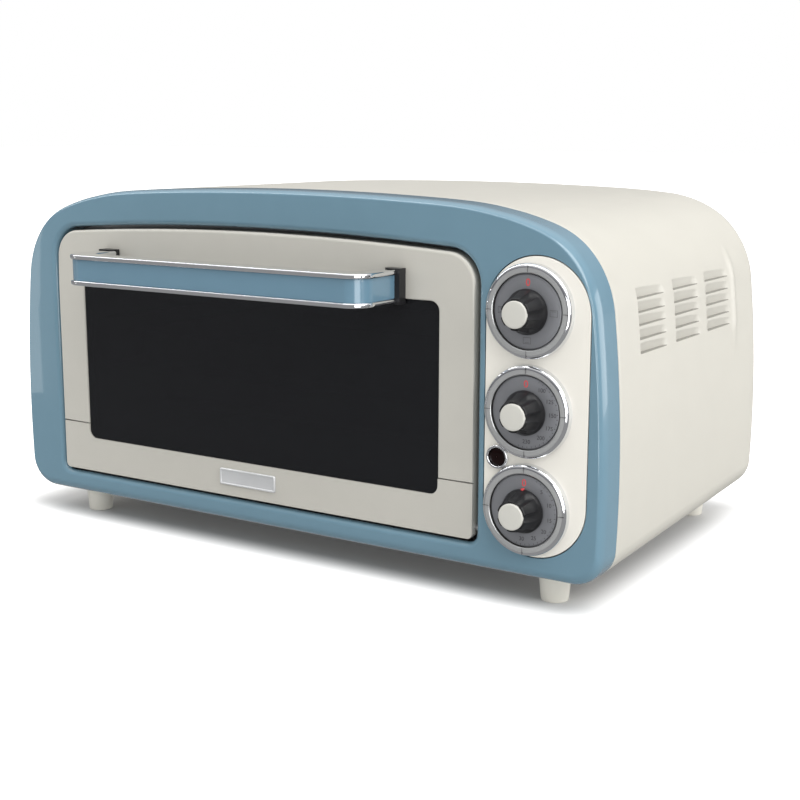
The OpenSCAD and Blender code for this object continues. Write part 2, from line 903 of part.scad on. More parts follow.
bracket_x1 = handle_x - handle_w / 2 - bracket_lap;
bracket_x2 = handle_x + handle_w / 2 + bracket_lap;
handle_screw_xs = [bracket_x1 + 3.3, bracket_x1 + 9.3, bracket_x2 - 9.3, bracket_x2 - 3.3];

module door_panel() {
  color(cream) place() door_front(door_seam_z + door_seam / 2, door_top + 1);
}

module door_lower_panel() {
  color(cream) place() door_front(door_z - 1, door_seam_z - door_seam / 2);
}

module door_glass() {
  color([0.12, 0.12, 0.13]) place()
    slab(door_sheet, door_sheet + glass_t) window_shape(glass_lap);
}

// Inner pressing: a plate, a collar that holds the glass, and the blocks that hold the hinge pins
module door_inner_frame() {
  collar_y = door_sheet + glass_t;
  collar_back = 16.5;
  plate_y = door_t - 2;
  block_w = 12;
  left_x = door_x - door_w / 2 + door_sheet + 0.3;
  right_x = door_x + door_w / 2 - door_sheet - 0.3;
  color(steel) place() difference() {
    union() {
      slab(plate_y, door_t) polygon(door_outline(door_sheet + 0.3));
      slab(collar_y, collar_back) window_shape(7);
      box([left_x, door_sheet, hinge_z - 3.7], [left_x + block_w, plate_y + 1, hinge_z + 4.5]);
      box([right_x - block_w, door_sheet, hinge_z - 3.7], [right_x, plate_y + 1, hinge_z + 4.5]);
    }
    slab(collar_y - 1, collar_back + 1) window_shape(1);
    rod_x(hinge_y, hinge_z, left_x - 1, left_x + block_w - 1, pin_r + 0.02);
    rod_x(hinge_y, hinge_z, right_x - block_w + 1, right_x + 1, pin_r + 0.02);
  }
}

module badge_plate() {
  badge_w = 46.6;
  badge_h = 11.2;
  badge_x = door_x - 1.2;
  badge_z = 51;
  rim = 1.2;
  color(chrome) place() difference() {
    box([badge_x - badge_w / 2, -1.4, badge_z - badge_h / 2],
        [badge_x + badge_w / 2, 0, badge_z + badge_h / 2]);
    box([badge_x - badge_w / 2 + rim, -2, badge_z - badge_h / 2 + rim],
        [badge_x + badge_w / 2 - rim, -0.9, badge_z + badge_h / 2 - rim]);
  }
}

module handle_bar() {
  color(blue) place()
    translate([0, 0, handle_z - band_h / 2]) linear_extrude(band_h) handle_shape(0);
}

module handle_trim_top() {
  color(chrome) place()
    translate([0, 0, handle_z + band_h / 2]) linear_extrude(trim_h) handle_shape(trim_lap);
}

module handle_trim_bottom() {
  color(chrome) place()
    translate([0, 0, handle_z - band_h / 2 - trim_h]) linear_extrude(trim_h) handle_shape(trim_lap);
}

// Block between an end of the handle and the door; its inner front corner is round
module handle_bracket(outer_x, side) {
  height = band_h + 2 * trim_h + 1.2;
  corner_r = 5;
  color(black) place() difference() {
    translate([outer_x, 0, handle_z - height / 2]) linear_extrude(height)
      polygon([for (p = concat(
          [[0, 0], [0, -bracket_d]],
          arc(bracket_w - corner_r, -bracket_d + corner_r, corner_r, -90, 0, 6),
          [[bracket_w, 0]]))
        [side * p[0], p[1]]]);
    handle_screw_holes(1.62);
  }
}

module handle_bracket_left() {
  handle_bracket(bracket_x1, 1);
}

module handle_bracket_right() {
  handle_bracket(bracket_x2, -1);
}

module handle_screws() {
  color(steel) place()
    for (x = handle_screw_xs) {
      rod_y(x, screw_z, door_sheet, door_sheet + 2, 2.7);
      rod_y(x, screw_z, -bracket_d + 2, door_sheet + 1, 1.6);
    }
}

module hinge_pins() {
  inner = 11;
  color(steel) place() {
    rod_x(hinge_y, hinge_z, door_x - door_w / 2 - 20, door_x - door_w / 2 + inner, pin_r);
    rod_x(hinge_y, hinge_z, door_x + door_w / 2 - inner, door_x + door_w / 2 + 9.5, pin_r);
  }
}

// Angle plate on the inner frame; x1 and x2 bound the ear, flange_x is the far end of its foot
module hinge_bracket(x1, x2, flange_x) {
  ear_y = hinge_y - 3.7;
  color(steel) place() difference() {
    union() {
      box([x1, ear_y, hinge_z - 6], [x2, frame_y, hinge_z + 7]);
      box([min(x1, flange_x), frame_y - 1.5, hinge_z - 6], [max(x2, flange_x), frame_y, hinge_z + 7]);
    }
    rod_x(hinge_y, hinge_z, x1 - 1, x2 + 1, pin_r + pin_fit);
  }
}

module hinge_bracket_left() {
  outer = door_x - door_w / 2 - door_gap - lip_t;
  hinge_bracket(outer - 5, outer - 2, outer - 16);
}

module hinge_bracket_right() {
  outer = door_x + door_w / 2 + door_gap + lip_t;
  hinge_bracket(outer + 1, outer + 3.5, outer - 10);
}

// Coil round the left hinge pin, with a leg to the frame
module door_spring() {
  coil_r = 3.6;
  wire_r = 0.6;
  coils = 6;
  pitch = 1.1;        // a little less than the wire's thickness
  first_x = door_x - door_w / 2 - door_gap - lip_t - 12.2;
  meet_a = asin(pitch / 2 / wire_r);    // where the round of one turn meets the next turn's
  color(steel) place() {
    translate([first_x, hinge_y, hinge_z]) rotate([0, 90, 0]) rotate_extrude()
      polygon(concat(
        [for (i = [0 : coils - 1]) each arc(coil_r, i * pitch, wire_r, -meet_a, meet_a, 6)],
        [for (i = [coils - 1 : -1 : 0]) each arc(coil_r, i * pitch, wire_r, 180 - meet_a, 180 + meet_a, 6)]));
    rod_y(first_x, hinge_z + coil_r - 0.2, hinge_y, frame_y - 1.5, wire_r);
  }
}

// ---- Loose pieces in the oven --------------------------------------------

module wire_rack() {
  x1 = cavity_x1 + mouth_lap + 0.6 + rack_r;
  x2 = cavity_x2 - mouth_lap - 0.6 - rack_r;
  step = (x2 - x1) / (rack_wires + 1);
  color(chrome) place() {
    for (y = [rack_y1, (rack_y1 + rack_y2) / 2, rack_y2])
      rod_x(y, rack_z, x1, x2, rack_r);
    for (x = [x1, x2])
      rod_y(x, rack_z, rack_y1, rack_y2, rack_r);
    for (x = [x1, x2])
      for (y = [rack_y1, rack_y2])
        translate([x, y, rack_z]) sphere(r = rack_r);
    for (i = [1 : rack_wires])
      rod_y(x1 + i * step, rack_z + rack_r - 0.4, rack_y1 - 1, rack_y2 + 1, rack_wire_r);
  }
}

module pan_shape(x1, y1, x2, y2, r) {
  polygon(concat(
    arc(x2 - r, y1 + r, r, -90, 0, 6),
    arc(x2 - r, y2 - r, r, 0, 90, 6),
    arc(x1 + r, y2 - r, r, 90, 180, 6),
    arc(x1 + r, y1 + r, r, 180, 270, 6)));
}

module baking_pan() {
  x1 = cavity_x1 + 18;
  x2 = cavity_x2 - 18;
  y1 = 38;
  y2 = 240;
  rim = 5;
  wall = 1;
  corner_r = 14;
  z = rack_z + rack_r - 0.4 + rack_wire_r;
  color([0.25, 0.25, 0.27]) place() translate([0, 0, z]) difference() {
    union() {
      linear_extrude(pan_h) pan_shape(x1, y1, x2, y2, corner_r);
      translate([0, 0, pan_h - wall]) linear_extrude(wall)
        pan_shape(x1 - rim, y1 - rim, x2 + rim, y2 + rim, corner_r + rim - 1);
    }
    translate([0, 0, wall]) linear_extrude(pan_h)
      pan_shape(x1 + wall, y1 + wall, x2 - wall, y2 - wall, corner_r - wall);
  }
}

// Shallow tray that slides out through the back
module crumb_tray() {
  x1 = cavity_x1 + tray_margin + 1;
  x2 = cavity_x2 - tray_margin - 1;
  z2 = tray_z + tray_h;
  wall = 1;
  color(steel) place() {
    difference() {
      box([x1, tray_y1, tray_z], [x2, rear_y + sheet, z2]);
      box([x1 + wall, tray_y1 + wall, tray_z + wall], [x2 - wall, rear_y - 4, z2 + 1]);
    }
    box([door_x - 30, rear_y, tray_z], [door_x + 30, body_d, z2]);
  }
}

front_bezel();
body_shell();
back_cover();
base_plate();
front_frame();
oven_cavity();
cavity_back();
heat_shield();
control_panel();
dial_ring_function();
dial_ring_thermostat();
dial_ring_timer();
dial_plate_function();
dial_plate_thermostat();
dial_plate_timer();
function_switch();
thermostat_body();
timer_body();
timer_bell();
thermostat_bulb();
pilot_lamp_ring();
pilot_lamp_lens();
pilot_lamp_body();
heater_upper();
heater_lower();
heater_insulators();
hinge_bracket_left();
hinge_bracket_right();
door_spring();
terminal_block();
wiring();
cord_gland();
feet();
foot_screws();
case_screws();
door_panel();
door_lower_panel();
door_inner_frame();
door_glass();
badge_plate();
handle_bar();
handle_trim_top();
handle_trim_bottom();
handle_bracket_left();
handle_bracket_right();
handle_screws();
hinge_pins();
knob_function();
knob_thermostat();
knob_timer();
knob_cap_function();
knob_cap_thermostat();
knob_cap_timer();
shaft_function();
shaft_thermostat();
shaft_timer();
wire_rack();
baking_pan();
crumb_tray();
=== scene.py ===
"""Looks of the toaster oven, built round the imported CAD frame. Metres, in the frame's own axes."""
import json
import math

import bmesh
import bpy
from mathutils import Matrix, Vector


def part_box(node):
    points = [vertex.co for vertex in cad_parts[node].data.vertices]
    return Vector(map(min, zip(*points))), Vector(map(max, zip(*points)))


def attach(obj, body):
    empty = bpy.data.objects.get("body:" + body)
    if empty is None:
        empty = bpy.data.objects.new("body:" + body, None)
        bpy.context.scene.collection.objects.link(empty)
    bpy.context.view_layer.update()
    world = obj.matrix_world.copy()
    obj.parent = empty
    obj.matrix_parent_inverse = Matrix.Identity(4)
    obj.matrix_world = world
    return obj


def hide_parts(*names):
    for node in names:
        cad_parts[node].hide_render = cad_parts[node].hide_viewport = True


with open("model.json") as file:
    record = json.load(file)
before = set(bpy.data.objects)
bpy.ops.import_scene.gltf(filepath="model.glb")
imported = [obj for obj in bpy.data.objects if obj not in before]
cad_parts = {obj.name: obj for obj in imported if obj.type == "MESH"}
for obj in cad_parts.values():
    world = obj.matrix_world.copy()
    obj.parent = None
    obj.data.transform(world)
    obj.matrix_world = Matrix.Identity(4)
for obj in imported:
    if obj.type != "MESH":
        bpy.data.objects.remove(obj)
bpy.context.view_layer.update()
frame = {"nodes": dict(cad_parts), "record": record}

MM = 0.001
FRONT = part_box("front_bezel")[0].y      # the bezel's front face; Y below is measured backwards from it


def mm_box(node):
    """A CAD node's lowest and highest corner in millimetres, with Y from the bezel's front face."""
    low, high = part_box(node)
    shift = Vector((0, FRONT, 0))
    return (low - shift) / MM, (high - shift) / MM


# ---- Driving dimensions, in millimetres ----------------------------------------------------

HALF_W = mm_box("body_shell")[1].x
BEZEL_LOW, BEZEL_HIGH = mm_box("front_bezel")
BOTTOM_Z, TOP_Z = BEZEL_LOW.z, BEZEL_HIGH.z
BEZEL_D = BEZEL_HIGH.y
WIDEST_Z = 75                           # height at which the sides stand out furthest
SIDE_R = 880                            # bulge of the sides
CROWN_R, REAR_CROWN_R = 2260, 3500      # arch of the top at the front and at the rear
TOP_CORNER_R, BOTTOM_CORNER_R = 67, 19
MIN_CORNER_R = 4                        # what is left of the bottom corners where the outline is moved in
EDGE_IN, EDGE_D = 3, 9                  # how far in and back the rounding of the bezel's outer edge reaches
EDGE_UNDER = 7.5                        # how far up that rounding reaches at the bottom
SHOULDER_DROP, REAR_SAG = 4, 1.5        # sag of the shoulders at the front and at the rear
SHOULDER_X, SHOULDER_REACH = 178, 26    # where the shoulders sag most, and how widely
LIP_R = 4                               # rolled lip round the door
TOP_DROP, UNDER_RISE = 2, 6             # how far the top sinks and the underside rises towards the rear
REAR_R, UNDER_R = 22, 20                # rounding of the rear edge, and of its lower part
REAR_Y = mm_box("back_cover")[0].y
FILLET_Y = REAR_Y - REAR_R
SHEET = 0.8

DOOR_LOW, DOOR_HIGH = mm_box("door_panel")
DOOR_Z = mm_box("door_lower_panel")[0].z
DOOR_X = (DOOR_LOW.x + DOOR_HIGH.x) / 2
DOOR_W = DOOR_HIGH.x - DOOR_LOW.x
DOOR_TOP = DOOR_HIGH.z
DOOR_T = DOOR_HIGH.y - DOOR_LOW.y
DOOR_R, DOOR_FOOT_R, DOOR_CROWN_R = 19, 3.5, 2200
DOOR_GAP = 2.5
DOOR_RECESS = 18                        # how far back the walls round the door run
DOOR_FRONT_T = 2.0                      # depth of the door's front sheet
SEAM_Z, SEAM = 72.6, 0.5                # height and width of the joint between the two door panels
GLASS_LAP = 5
GLASS_LOW, GLASS_HIGH = mm_box("door_glass")
WINDOW = (GLASS_LOW.x + GLASS_LAP, GLASS_LOW.z + GLASS_LAP,
          GLASS_HIGH.x - GLASS_LAP, GLASS_HIGH.z - GLASS_LAP)
WINDOW_R = 6

PANEL_X, PANEL_Z, PANEL_W, PANEL_H = 188.4, 122.7, 66.6, 177.4
PANEL_GAP, PANEL_RECESS = 0.6, 3.5
PLATE_LOW, PLATE_HIGH = mm_box("dial_plate_thermostat")
DIAL_X = (PLATE_LOW.x + PLATE_HIGH.x) / 2
DIAL_R = (PLATE_HIGH.x - PLATE_LOW.x) / 2
DIAL_Z = {name: (mm_box("dial_plate_" + name)[0].z + mm_box("dial_plate_" + name)[1].z) / 2
          for name in ("function", "thermostat", "timer")}
RING_R = (mm_box("dial_ring_function")[1].x - mm_box("dial_ring_function")[0].x) / 2


# ---- Outlines ------------------------------------------------------------------------------

def arc(cx, cz, r, a1, a2, steps):
    """Points on a circle between two angles in degrees, both ends included."""
    turns = [math.radians(a1 + (a2 - a1) * i / steps) for i in range(steps + 1)]
    return [(cx + r * math.cos(a), cz + r * math.sin(a)) for a in turns]


def sagged(x, z, sag):
    """Lowers a point of the body's outline where the shoulders sag."""
    off = (abs(x) - SHOULDER_X) / SHOULDER_REACH
    return (x, z - sag * math.exp(-off * off)) if z > WIDEST_Z else (x, z)


class Body:
    """The body's outline in X and Z, moved in by side; arch is the radius across the top."""

    def __init__(self, side, top, bottom, foot_r, arch=CROWN_R, sag=SHOULDER_DROP):
        self.bottom, self.foot_r, self.arch, self.sag = bottom, foot_r, arch, sag
        self.r = TOP_CORNER_R - side
        self.flank_r = SIDE_R - side
        self.flank = Vector((HALF_W - SIDE_R, WIDEST_Z))
        self.crown = Vector((0, top - arch))
        ahead = self.crown - self.flank
        gap = ahead.length
        ahead /= gap
        along = ((self.flank_r - self.r) ** 2 - (arch - self.r) ** 2 + gap * gap) / (2 * gap)
        across = math.sqrt((self.flank_r - self.r) ** 2 - along * along)
        self.corner = self.flank + along * ahead + across * Vector((-ahead.y, ahead.x))
        self.corner_a = math.degrees(math.atan2(self.corner.y - self.flank.y, self.corner.x - self.flank.x))
        self.crown_a = math.degrees(math.atan2(self.corner.y - self.crown.y, self.corner.x))
        drop = bottom + foot_r - WIDEST_Z
        self.foot = (self.flank.x + math.sqrt((self.flank_r - foot_r) ** 2 - drop * drop), bottom + foot_r)
        self.foot_a = math.degrees(math.atan2(drop, self.foot[0] - self.flank.x))

    def x_at(self, z):
        """Half the width at a height."""
        if z > self.corner.y + self.r * math.sin(math.radians(self.corner_a)):
            return self.corner.x + math.sqrt(max(self.r ** 2 - (z - self.corner.y) ** 2, 0))
        return self.flank.x + math.sqrt(self.flank_r ** 2 - (z - self.flank.y) ** 2)

    def points(self, rows, under):
        """Closed outline, anticlockwise from the front, with points at the given heights and places."""
        half = [(x, self.bottom) for x in under]
        half += arc(*self.foot, self.foot_r, -90, self.foot_a, 10)
        foot_z = half[-1][1]
        low = [foot_z + (rows[0] - foot_z) * i / 8 for i in range(1, 8)]
        half += [(self.x_at(z), z) for z in low + list(rows)]
        start = math.degrees(math.asin(min((rows[-1] - self.corner.y) / self.r, 0.999)))
        half += arc(*self.corner, self.r, start, self.crown_a, 20)[1:]
        half += arc(*self.crown, self.arch, self.crown_a, 90, 20)[1:]
        half = [sagged(x, z, self.sag) for x, z in half]
        return half + [(-x, z) for x, z in reversed(half[1:-1])]


PLAIN_ROWS = [150 + 6 * i for i in range(8)]
PLAIN_UNDER = [0, 60, 120, 185]


def inset(d, rows=PLAIN_ROWS, under=PLAIN_UNDER, lift=1):
    """The front outline moved in by d all round, and by lift times d at the bottom."""
    corner_r = max(BOTTOM_CORNER_R - d, MIN_CORNER_R)
    return Body(d, TOP_Z - d, BOTTOM_Z + lift * d, corner_r).points(rows, under)


def door_outline(d, steps=14):
    """The door's outline moved in by d."""
    r = DOOR_R - d
    half = DOOR_W / 2 - d
    foot_r = max(DOOR_FOOT_R - d, 0.4)
    crown_z = DOOR_TOP - DOOR_CROWN_R
    big_r = DOOR_CROWN_R - d
    cx = half - r
    cz = crown_z + math.sqrt((big_r - r) ** 2 - cx * cx)
    crown_a = math.degrees(math.atan2(cz - crown_z, cx))
    low = DOOR_Z + d
    points = arc(half - foot_r, low + foot_r, foot_r, -90, 0, 5)
    points += arc(cx, cz, r, 0, crown_a, steps)
    points += arc(0, crown_z, big_r, crown_a, 180 - crown_a, 16)[1:-1]
    points += arc(-cx, cz, r, 180 - crown_a, 180, steps)
    points += arc(-half + foot_r, low + foot_r, foot_r, 180, 270, 5)
    return [(x + DOOR_X, z) for x, z in points]


def rounded_box(x1, z1, x2, z2, r, steps=8):
    """Rectangle with round corners, anticlockwise."""
    return (arc(x2 - r, z1 + r, r, -90, 0, steps) + arc(x2 - r, z2 - r, r, 0, 90, steps)
            + arc(x1 + r, z2 - r, r, 90, 180, steps) + arc(x1 + r, z1 + r, r, 180, 270, steps))


def pill(d, steps=32):
    """The control panel's outline moved in by d."""
    r = PANEL_W / 2 - d
    reach = PANEL_H / 2 - d - r
    return (arc(PANEL_X, PANEL_Z + reach, r, 0, 180, steps)
            + arc(PANEL_X, PANEL_Z - reach, r, 180, 360, steps))


# ---- Mesh helpers --------------------------------------------------------------------------

def at(x, y, z):
    """A point given in millimetres, Y from the bezel's front face, as metres in the frame."""
    return Vector((x * MM, FRONT + y * MM, z * MM))


def ring(bm, outline, y):
    """Vertices along an outline at one depth; y may be a function of x and z."""
    depth = y if callable(y) else lambda x, z: y
    return [bm.verts.new(at(x, depth(x, z), z)) for x, z in outline]


def bridge(bm, a, b, material=0):
    """Quads between two closed rings of equal length."""
    faces = []
    for i in range(len(a)):
        j = (i + 1) % len(a)
        faces.append(bm.faces.new((a[i], a[j], b[j], b[i])))
        faces[-1].material_index = material
    return faces


def loft(bm, outlines, depths):
    """Joins a row of outlines, each at its own depth."""
    rings = [ring(bm, o, y) for o, y in zip(outlines, depths)]
    for a, b in zip(rings, rings[1:]):
        bridge(bm, a, b)
    return rings


def loop_edges(bm, verts):
    """The edges round a closed loop of vertices, made where they are missing."""
    found = []
    for i, v in enumerate(verts):
        w = verts[(i + 1) % len(verts)]
        found.append(bm.edges.get((v, w)) or bm.edges.new((v, w)))
    return found


def fill(bm, loops, normal=(0, -1, 0)):
    """Fills the area between closed loops of vertices that lie in one plane."""
    edges = [e for loop in loops for e in loop_edges(bm, loop)]
    made = bmesh.ops.triangle_fill(bm, use_beauty=True, use_dissolve=False, edges=edges, normal=normal)
    return [g for g in made["geom"] if isinstance(g, bmesh.types.BMFace)]


def finish(bm, name, body, materials, replaces=(), smooth=True, bevel=0, angle=35, merge=True):
    """Turns a bmesh into a piece that rides on a CAD body."""
    if merge:
        bmesh.ops.remove_doubles(bm, verts=bm.verts, dist=1e-6)
    bmesh.ops.recalc_face_normals(bm, faces=bm.faces)
    mesh = bpy.data.meshes.new(name)
    bm.to_mesh(mesh)
    bm.free()
    piece = bpy.data.objects.new(name, mesh)
    bpy.context.scene.collection.objects.link(piece)
    for material in materials:
        mesh.materials.append(material)
    for polygon in mesh.polygons:
        polygon.use_smooth = smooth
    if smooth:
        mesh.set_sharp_from_angle(angle=math.radians(angle))
    if bevel:
        modifier = piece.modifiers.new("edges", "BEVEL")
        modifier.width = bevel * MM
        modifier.segments = 3
        modifier.limit_method = "ANGLE"
        modifier.angle_limit = math.radians(angle)
        modifier.harden_normals = True
    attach(piece, body)
    if replaces:
        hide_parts(*replaces)
    return piece


def weighted(piece):
    """Flat faces keep their own normal where they meet a rounding."""
    modifier = piece.modifiers.new("normals", "WEIGHTED_NORMAL")
    modifier.keep_sharp = True
    modifier.weight = 100
    return piece


def lathe(bm, x, z, profile, steps=96, shape=None, material=0):
    """Turns a profile of (radius, y) round an axis along Y; shape may change a radius at an angle."""
    rings = []
    for r, y in profile:
        row = []
        for i in range(steps):
            a = 2 * math.pi * i / steps
            q = shape(r, y, a) if shape else r
            row.append(bm.verts.new(at(x + q * math.cos(a), y, z + q * math.sin(a))))
        rings.append(row)
    for a, b in zip(rings, rings[1:]):
        bridge(bm, a, b, material)
    return rings


def slab(bm, outline, y1, y2):
    """Closed prism along Y."""
    front, back = ring(bm, outline, y1), ring(bm, outline, y2)
    bridge(bm, front, back)
    bm.faces.new(front)
    bm.faces.new(list(reversed(back)))
    return front


# ---- Materials -----------------------------------------------------------------------------

BUMP_DEPTH = 0.05       # depth of the fine relief, in millimetres
COAT_ROUGHNESS = 0.03


def node(tree, kind, **values):
    """A new shader node; the values go to its sockets or its settings."""
    made = tree.nodes.new(kind)
    for key, value in values.items():
        if key in made.inputs:
            made.inputs[key].default_value = value
        else:
            setattr(made, key, value)
    return made


def surface(name, color, roughness, metallic=0.0, vary=0.04, rough_vary=0.05, scale=60, bump=0.03,
            bump_scale=900, stretch=(1, 1, 1), coat=0.0, alpha=1.0, specular=0.5):
    """A material whose colour, roughness and fine relief vary by noise."""
    material = bpy.data.materials.new(name)
    material.use_nodes = True
    tree = material.node_tree
    shader = tree.nodes["Principled BSDF"]
    place = node(tree, "ShaderNodeTexCoord")
    mapping = node(tree, "ShaderNodeMapping", Scale=stretch)
    tree.links.new(place.outputs["Object"], mapping.inputs["Vector"])
    broad = node(tree, "ShaderNodeTexNoise", Scale=scale, Detail=4.0, Roughness=0.55)
    fine = node(tree, "ShaderNodeTexNoise", Scale=bump_scale, Detail=3.0, Roughness=0.6)
    for noise in (broad, fine):
        tree.links.new(mapping.outputs["Vector"], noise.inputs["Vector"])
    ramp = node(tree, "ShaderNodeValToRGB")
    dark, light = ramp.color_ramp.elements
    dark.position, light.position = 0.3, 0.7
    dark.color = [c * (1 - vary) for c in color] + [1]
    light.color = [min(c * (1 + vary), 1) for c in color] + [1]
    tree.links.new(broad.outputs["Fac"], ramp.inputs["Fac"])
    tree.links.new(ramp.outputs["Color"], shader.inputs["Base Color"])
    spread = node(tree, "ShaderNodeMapRange")
    spread.inputs["To Min"].default_value = max(roughness - rough_vary, 0.0)
    spread.inputs["To Max"].default_value = min(roughness + rough_vary, 1.0)
    tree.links.new(broad.outputs["Fac"], spread.inputs["Value"])
    tree.links.new(spread.outputs["Result"], shader.inputs["Roughness"])
    if bump:
        relief = node(tree, "ShaderNodeBump", Strength=bump, Distance=BUMP_DEPTH * MM)
        tree.links.new(fine.outputs["Fac"], relief.inputs["Height"])
        tree.links.new(relief.outputs["Normal"], shader.inputs["Normal"])
    shader.inputs["Metallic"].default_value = metallic
    shader.inputs["Coat Weight"].default_value = coat
    shader.inputs["Coat Roughness"].default_value = COAT_ROUGHNESS
    shader.inputs["Specular IOR Level"].default_value = specular
    shader.inputs["Alpha"].default_value = alpha
    return material


BLUE = surface("blue_enamel", (0.120, 0.217, 0.280), 0.22, vary=0.015, bump=0.05, coat=0.6)
BLUE_BAND = surface("blue_band", (0.109, 0.202, 0.272), 0.20, vary=0.015, bump=0.05, coat=0.6)
CREAM = surface("cream_enamel", (0.478, 0.464, 0.418), 0.36, vary=0.012, bump=0.08, bump_scale=1400)
CREAM_DOOR = surface("cream_door", (0.446, 0.435, 0.395), 0.34, vary=0.012, bump=0.08, bump_scale=1400)
CREAM_PANEL = surface("cream_panel", (0.71, 0.69, 0.632), 0.30, vary=0.01, bump=0.05, bump_scale=1200)
CREAM_PLASTIC = surface("cream_plastic", (0.74, 0.72, 0.65), 0.38, vary=0.015, bump=0.12, bump_scale=1600)
CAP_PLASTIC = surface("cap_plastic", (0.495, 0.49, 0.452), 0.30, vary=0.012, bump=0.08, bump_scale=1600)
CHROME = surface("chrome_trim", (0.80, 0.81, 0.83), 0.07, metallic=1.0, vary=0.02, rough_vary=0.025,
                 bump=0.04)
SATIN = surface("satin_trim", (0.56, 0.57, 0.57), 0.20, metallic=0.65, vary=0.02, rough_vary=0.03,
                bump=0.04)
BADGE = surface("badge_trim", (0.66, 0.67, 0.68), 0.30, metallic=0.45, vary=0.02, rough_vary=0.03,
                bump=0.04)
DIAL = surface("dial_metal", (0.195, 0.20, 0.215), 0.42, metallic=0.3, vary=0.05, bump=0.2,
               bump_scale=2500)
BLACK = surface("black_plastic", (0.012, 0.012, 0.013), 0.33, vary=0.1, bump=0.15, bump_scale=1800,
                specular=0.3)
GLASS = surface("tinted_glass", (0.008, 0.0085, 0.010), 0.04, vary=0.05, rough_vary=0.01, bump=0.0,
                alpha=0.90, specular=0.28)
LENS = surface("lamp_red", (0.006, 0.0012, 0.0011), 0.10, vary=0.2, bump=0.0, specular=0.2)
# Painted shade for the dark gap inside each dial ring; the same near-black is also the colour of the ring's
# four tick marks.
RING_SHADE_AND_TICKS = surface("ring_painted_shade_and_ticks", (0.03, 0.03, 0.028), 0.8, vary=0.1)
# Painted shade: a dark grey for the scoops' bottom ledges, standing in for the shadow in their lower
# corners.
LOUVRE_PAINTED_SHADE = surface("louvre_painted_shade", (0.22, 0.213, 0.19), 0.6, vary=0.05)
STEEL = surface("sheet_steel", (0.50, 0.50, 0.51), 0.34, metallic=1.0, vary=0.06, rough_vary=0.08,
                scale=30, bump=0.1, stretch=(1, 1, 14), bump_scale=300)
TURNED = surface("steel_parts", (0.46, 0.46, 0.47), 0.30, metallic=1.0, vary=0.08, bump=0.1,
                 stretch=(1, 6, 1))
PAN = surface("pan_enamel", (0.035, 0.035, 0.04), 0.40, vary=0.15, bump=0.15, coat=0.3)
CERAMIC = surface("white_ceramic", (0.72, 0.70, 0.63), 0.62, vary=0.06, bump=0.3)
SWITCH = surface("switch_plastic", (0.62, 0.60, 0.52), 0.45, vary=0.04, bump=0.15)
BRASS = surface("timer_brass", (0.58, 0.47, 0.24), 0.32, metallic=1.0, vary=0.08, bump=0.1)
COPPER = surface("bulb_copper", (0.66, 0.36, 0.20), 0.30, metallic=1.0, vary=0.1, bump=0.1)
LEAD = surface("lead_insulation", (0.42, 0.06, 0.04), 0.55, vary=0.12, bump=0.2)
INK = surface("dial_ink", (0.035, 0.035, 0.04), 0.5, vary=0.15)
RED_INK = surface("red_ink", (0.62, 0.045, 0.05), 0.45, vary=0.1)

SLOT_MATERIAL = {
    "blue_enamel": BLUE, "cream_enamel": CREAM, "cream_plastic": CREAM_PLASTIC, "chrome_trim": CHROME,
    "dial_metal": DIAL, "black_plastic": BLACK, "tinted_glass": GLASS, "lamp_red": LENS,
    "sheet_steel": STEEL, "steel_parts": TURNED, "pan_enamel": PAN, "white_ceramic": CERAMIC,
    "switch_plastic": SWITCH, "timer_brass": BRASS, "bulb_copper": COPPER, "lead_insulation": LEAD,
}


def dress_cad_nodes():
    """Gives every CAD node its slot's material and softened edges."""
    slots = {s["node"]: s["material_slot"] for s in frame["record"]["subparts"]}
    for name, thing in frame["nodes"].items():
        thing.data.materials.clear()
        thing.data.materials.append(SLOT_MATERIAL[slots[name]])
        modifier = thing.modifiers.new("edges", "BEVEL")
        modifier.width = 0.35 * MM
        modifier.segments = 2
        modifier.limit_method = "ANGLE"
        modifier.angle_limit = math.radians(50)


dress_cad_nodes()


# ---- Bezel ---------------------------------------------------------------------------------

def quarter_turn(steps=12):
    """Angles from 0 to 90 degrees, in radians."""
    return [math.radians(90 * i / steps) for i in range(steps + 1)]


def build_bezel():
    """Front frame with a soft outer edge, a rolled lip round the door and a hole for the panel."""
    bm = bmesh.new()
    seam = [(0.9, BEZEL_D - 0.1), (0.35, BEZEL_D - 0.25), (0, BEZEL_D - 0.9)]
    turn = quarter_turn()
    edge = [(EDGE_IN * (1 - math.cos(a)), EDGE_D * (1 - math.sin(a))) for a in turn]
    lift = EDGE_UNDER / EDGE_IN
    outer = loft(bm, [inset(d) for d, y in seam] + [inset(d, lift=lift) for d, y in edge],
                 [y for d, y in seam + edge])
    back = ring(bm, inset(EDGE_IN), BEZEL_D - 0.1)
    bridge(bm, back, outer[0])
    lip = [(LIP_R * (1 - math.sin(a)), LIP_R * (1 - math.cos(a))) for a in turn[::2]]
    door_rings = []
    for d, y in lip:
        door_rings.append(ring(bm, door_outline(-DOOR_GAP - d), y))
    deep = ring(bm, door_outline(-DOOR_GAP), lambda x, z: DOOR_RECESS if z > DOOR_Z else LIP_R)
    for a, b in zip(door_rings, door_rings[1:] + [deep]):
        bridge(bm, a, b)
    rim = [(0.2, 0), (0.06, 0.06), (0, 0.2), (0, PANEL_RECESS)]
    pill_rings = loft(bm, [pill(-PANEL_GAP - d) for d, y in rim], [y for d, y in rim])
    fill(bm, [outer[-1], door_rings[0], pill_rings[0]])
    return weighted(finish(bm, "bezel_skin", "oven_body", [BLUE], ["front_bezel"], angle=50))


build_bezel()


# ---- Shell with louvres --------------------------------------------------------------------

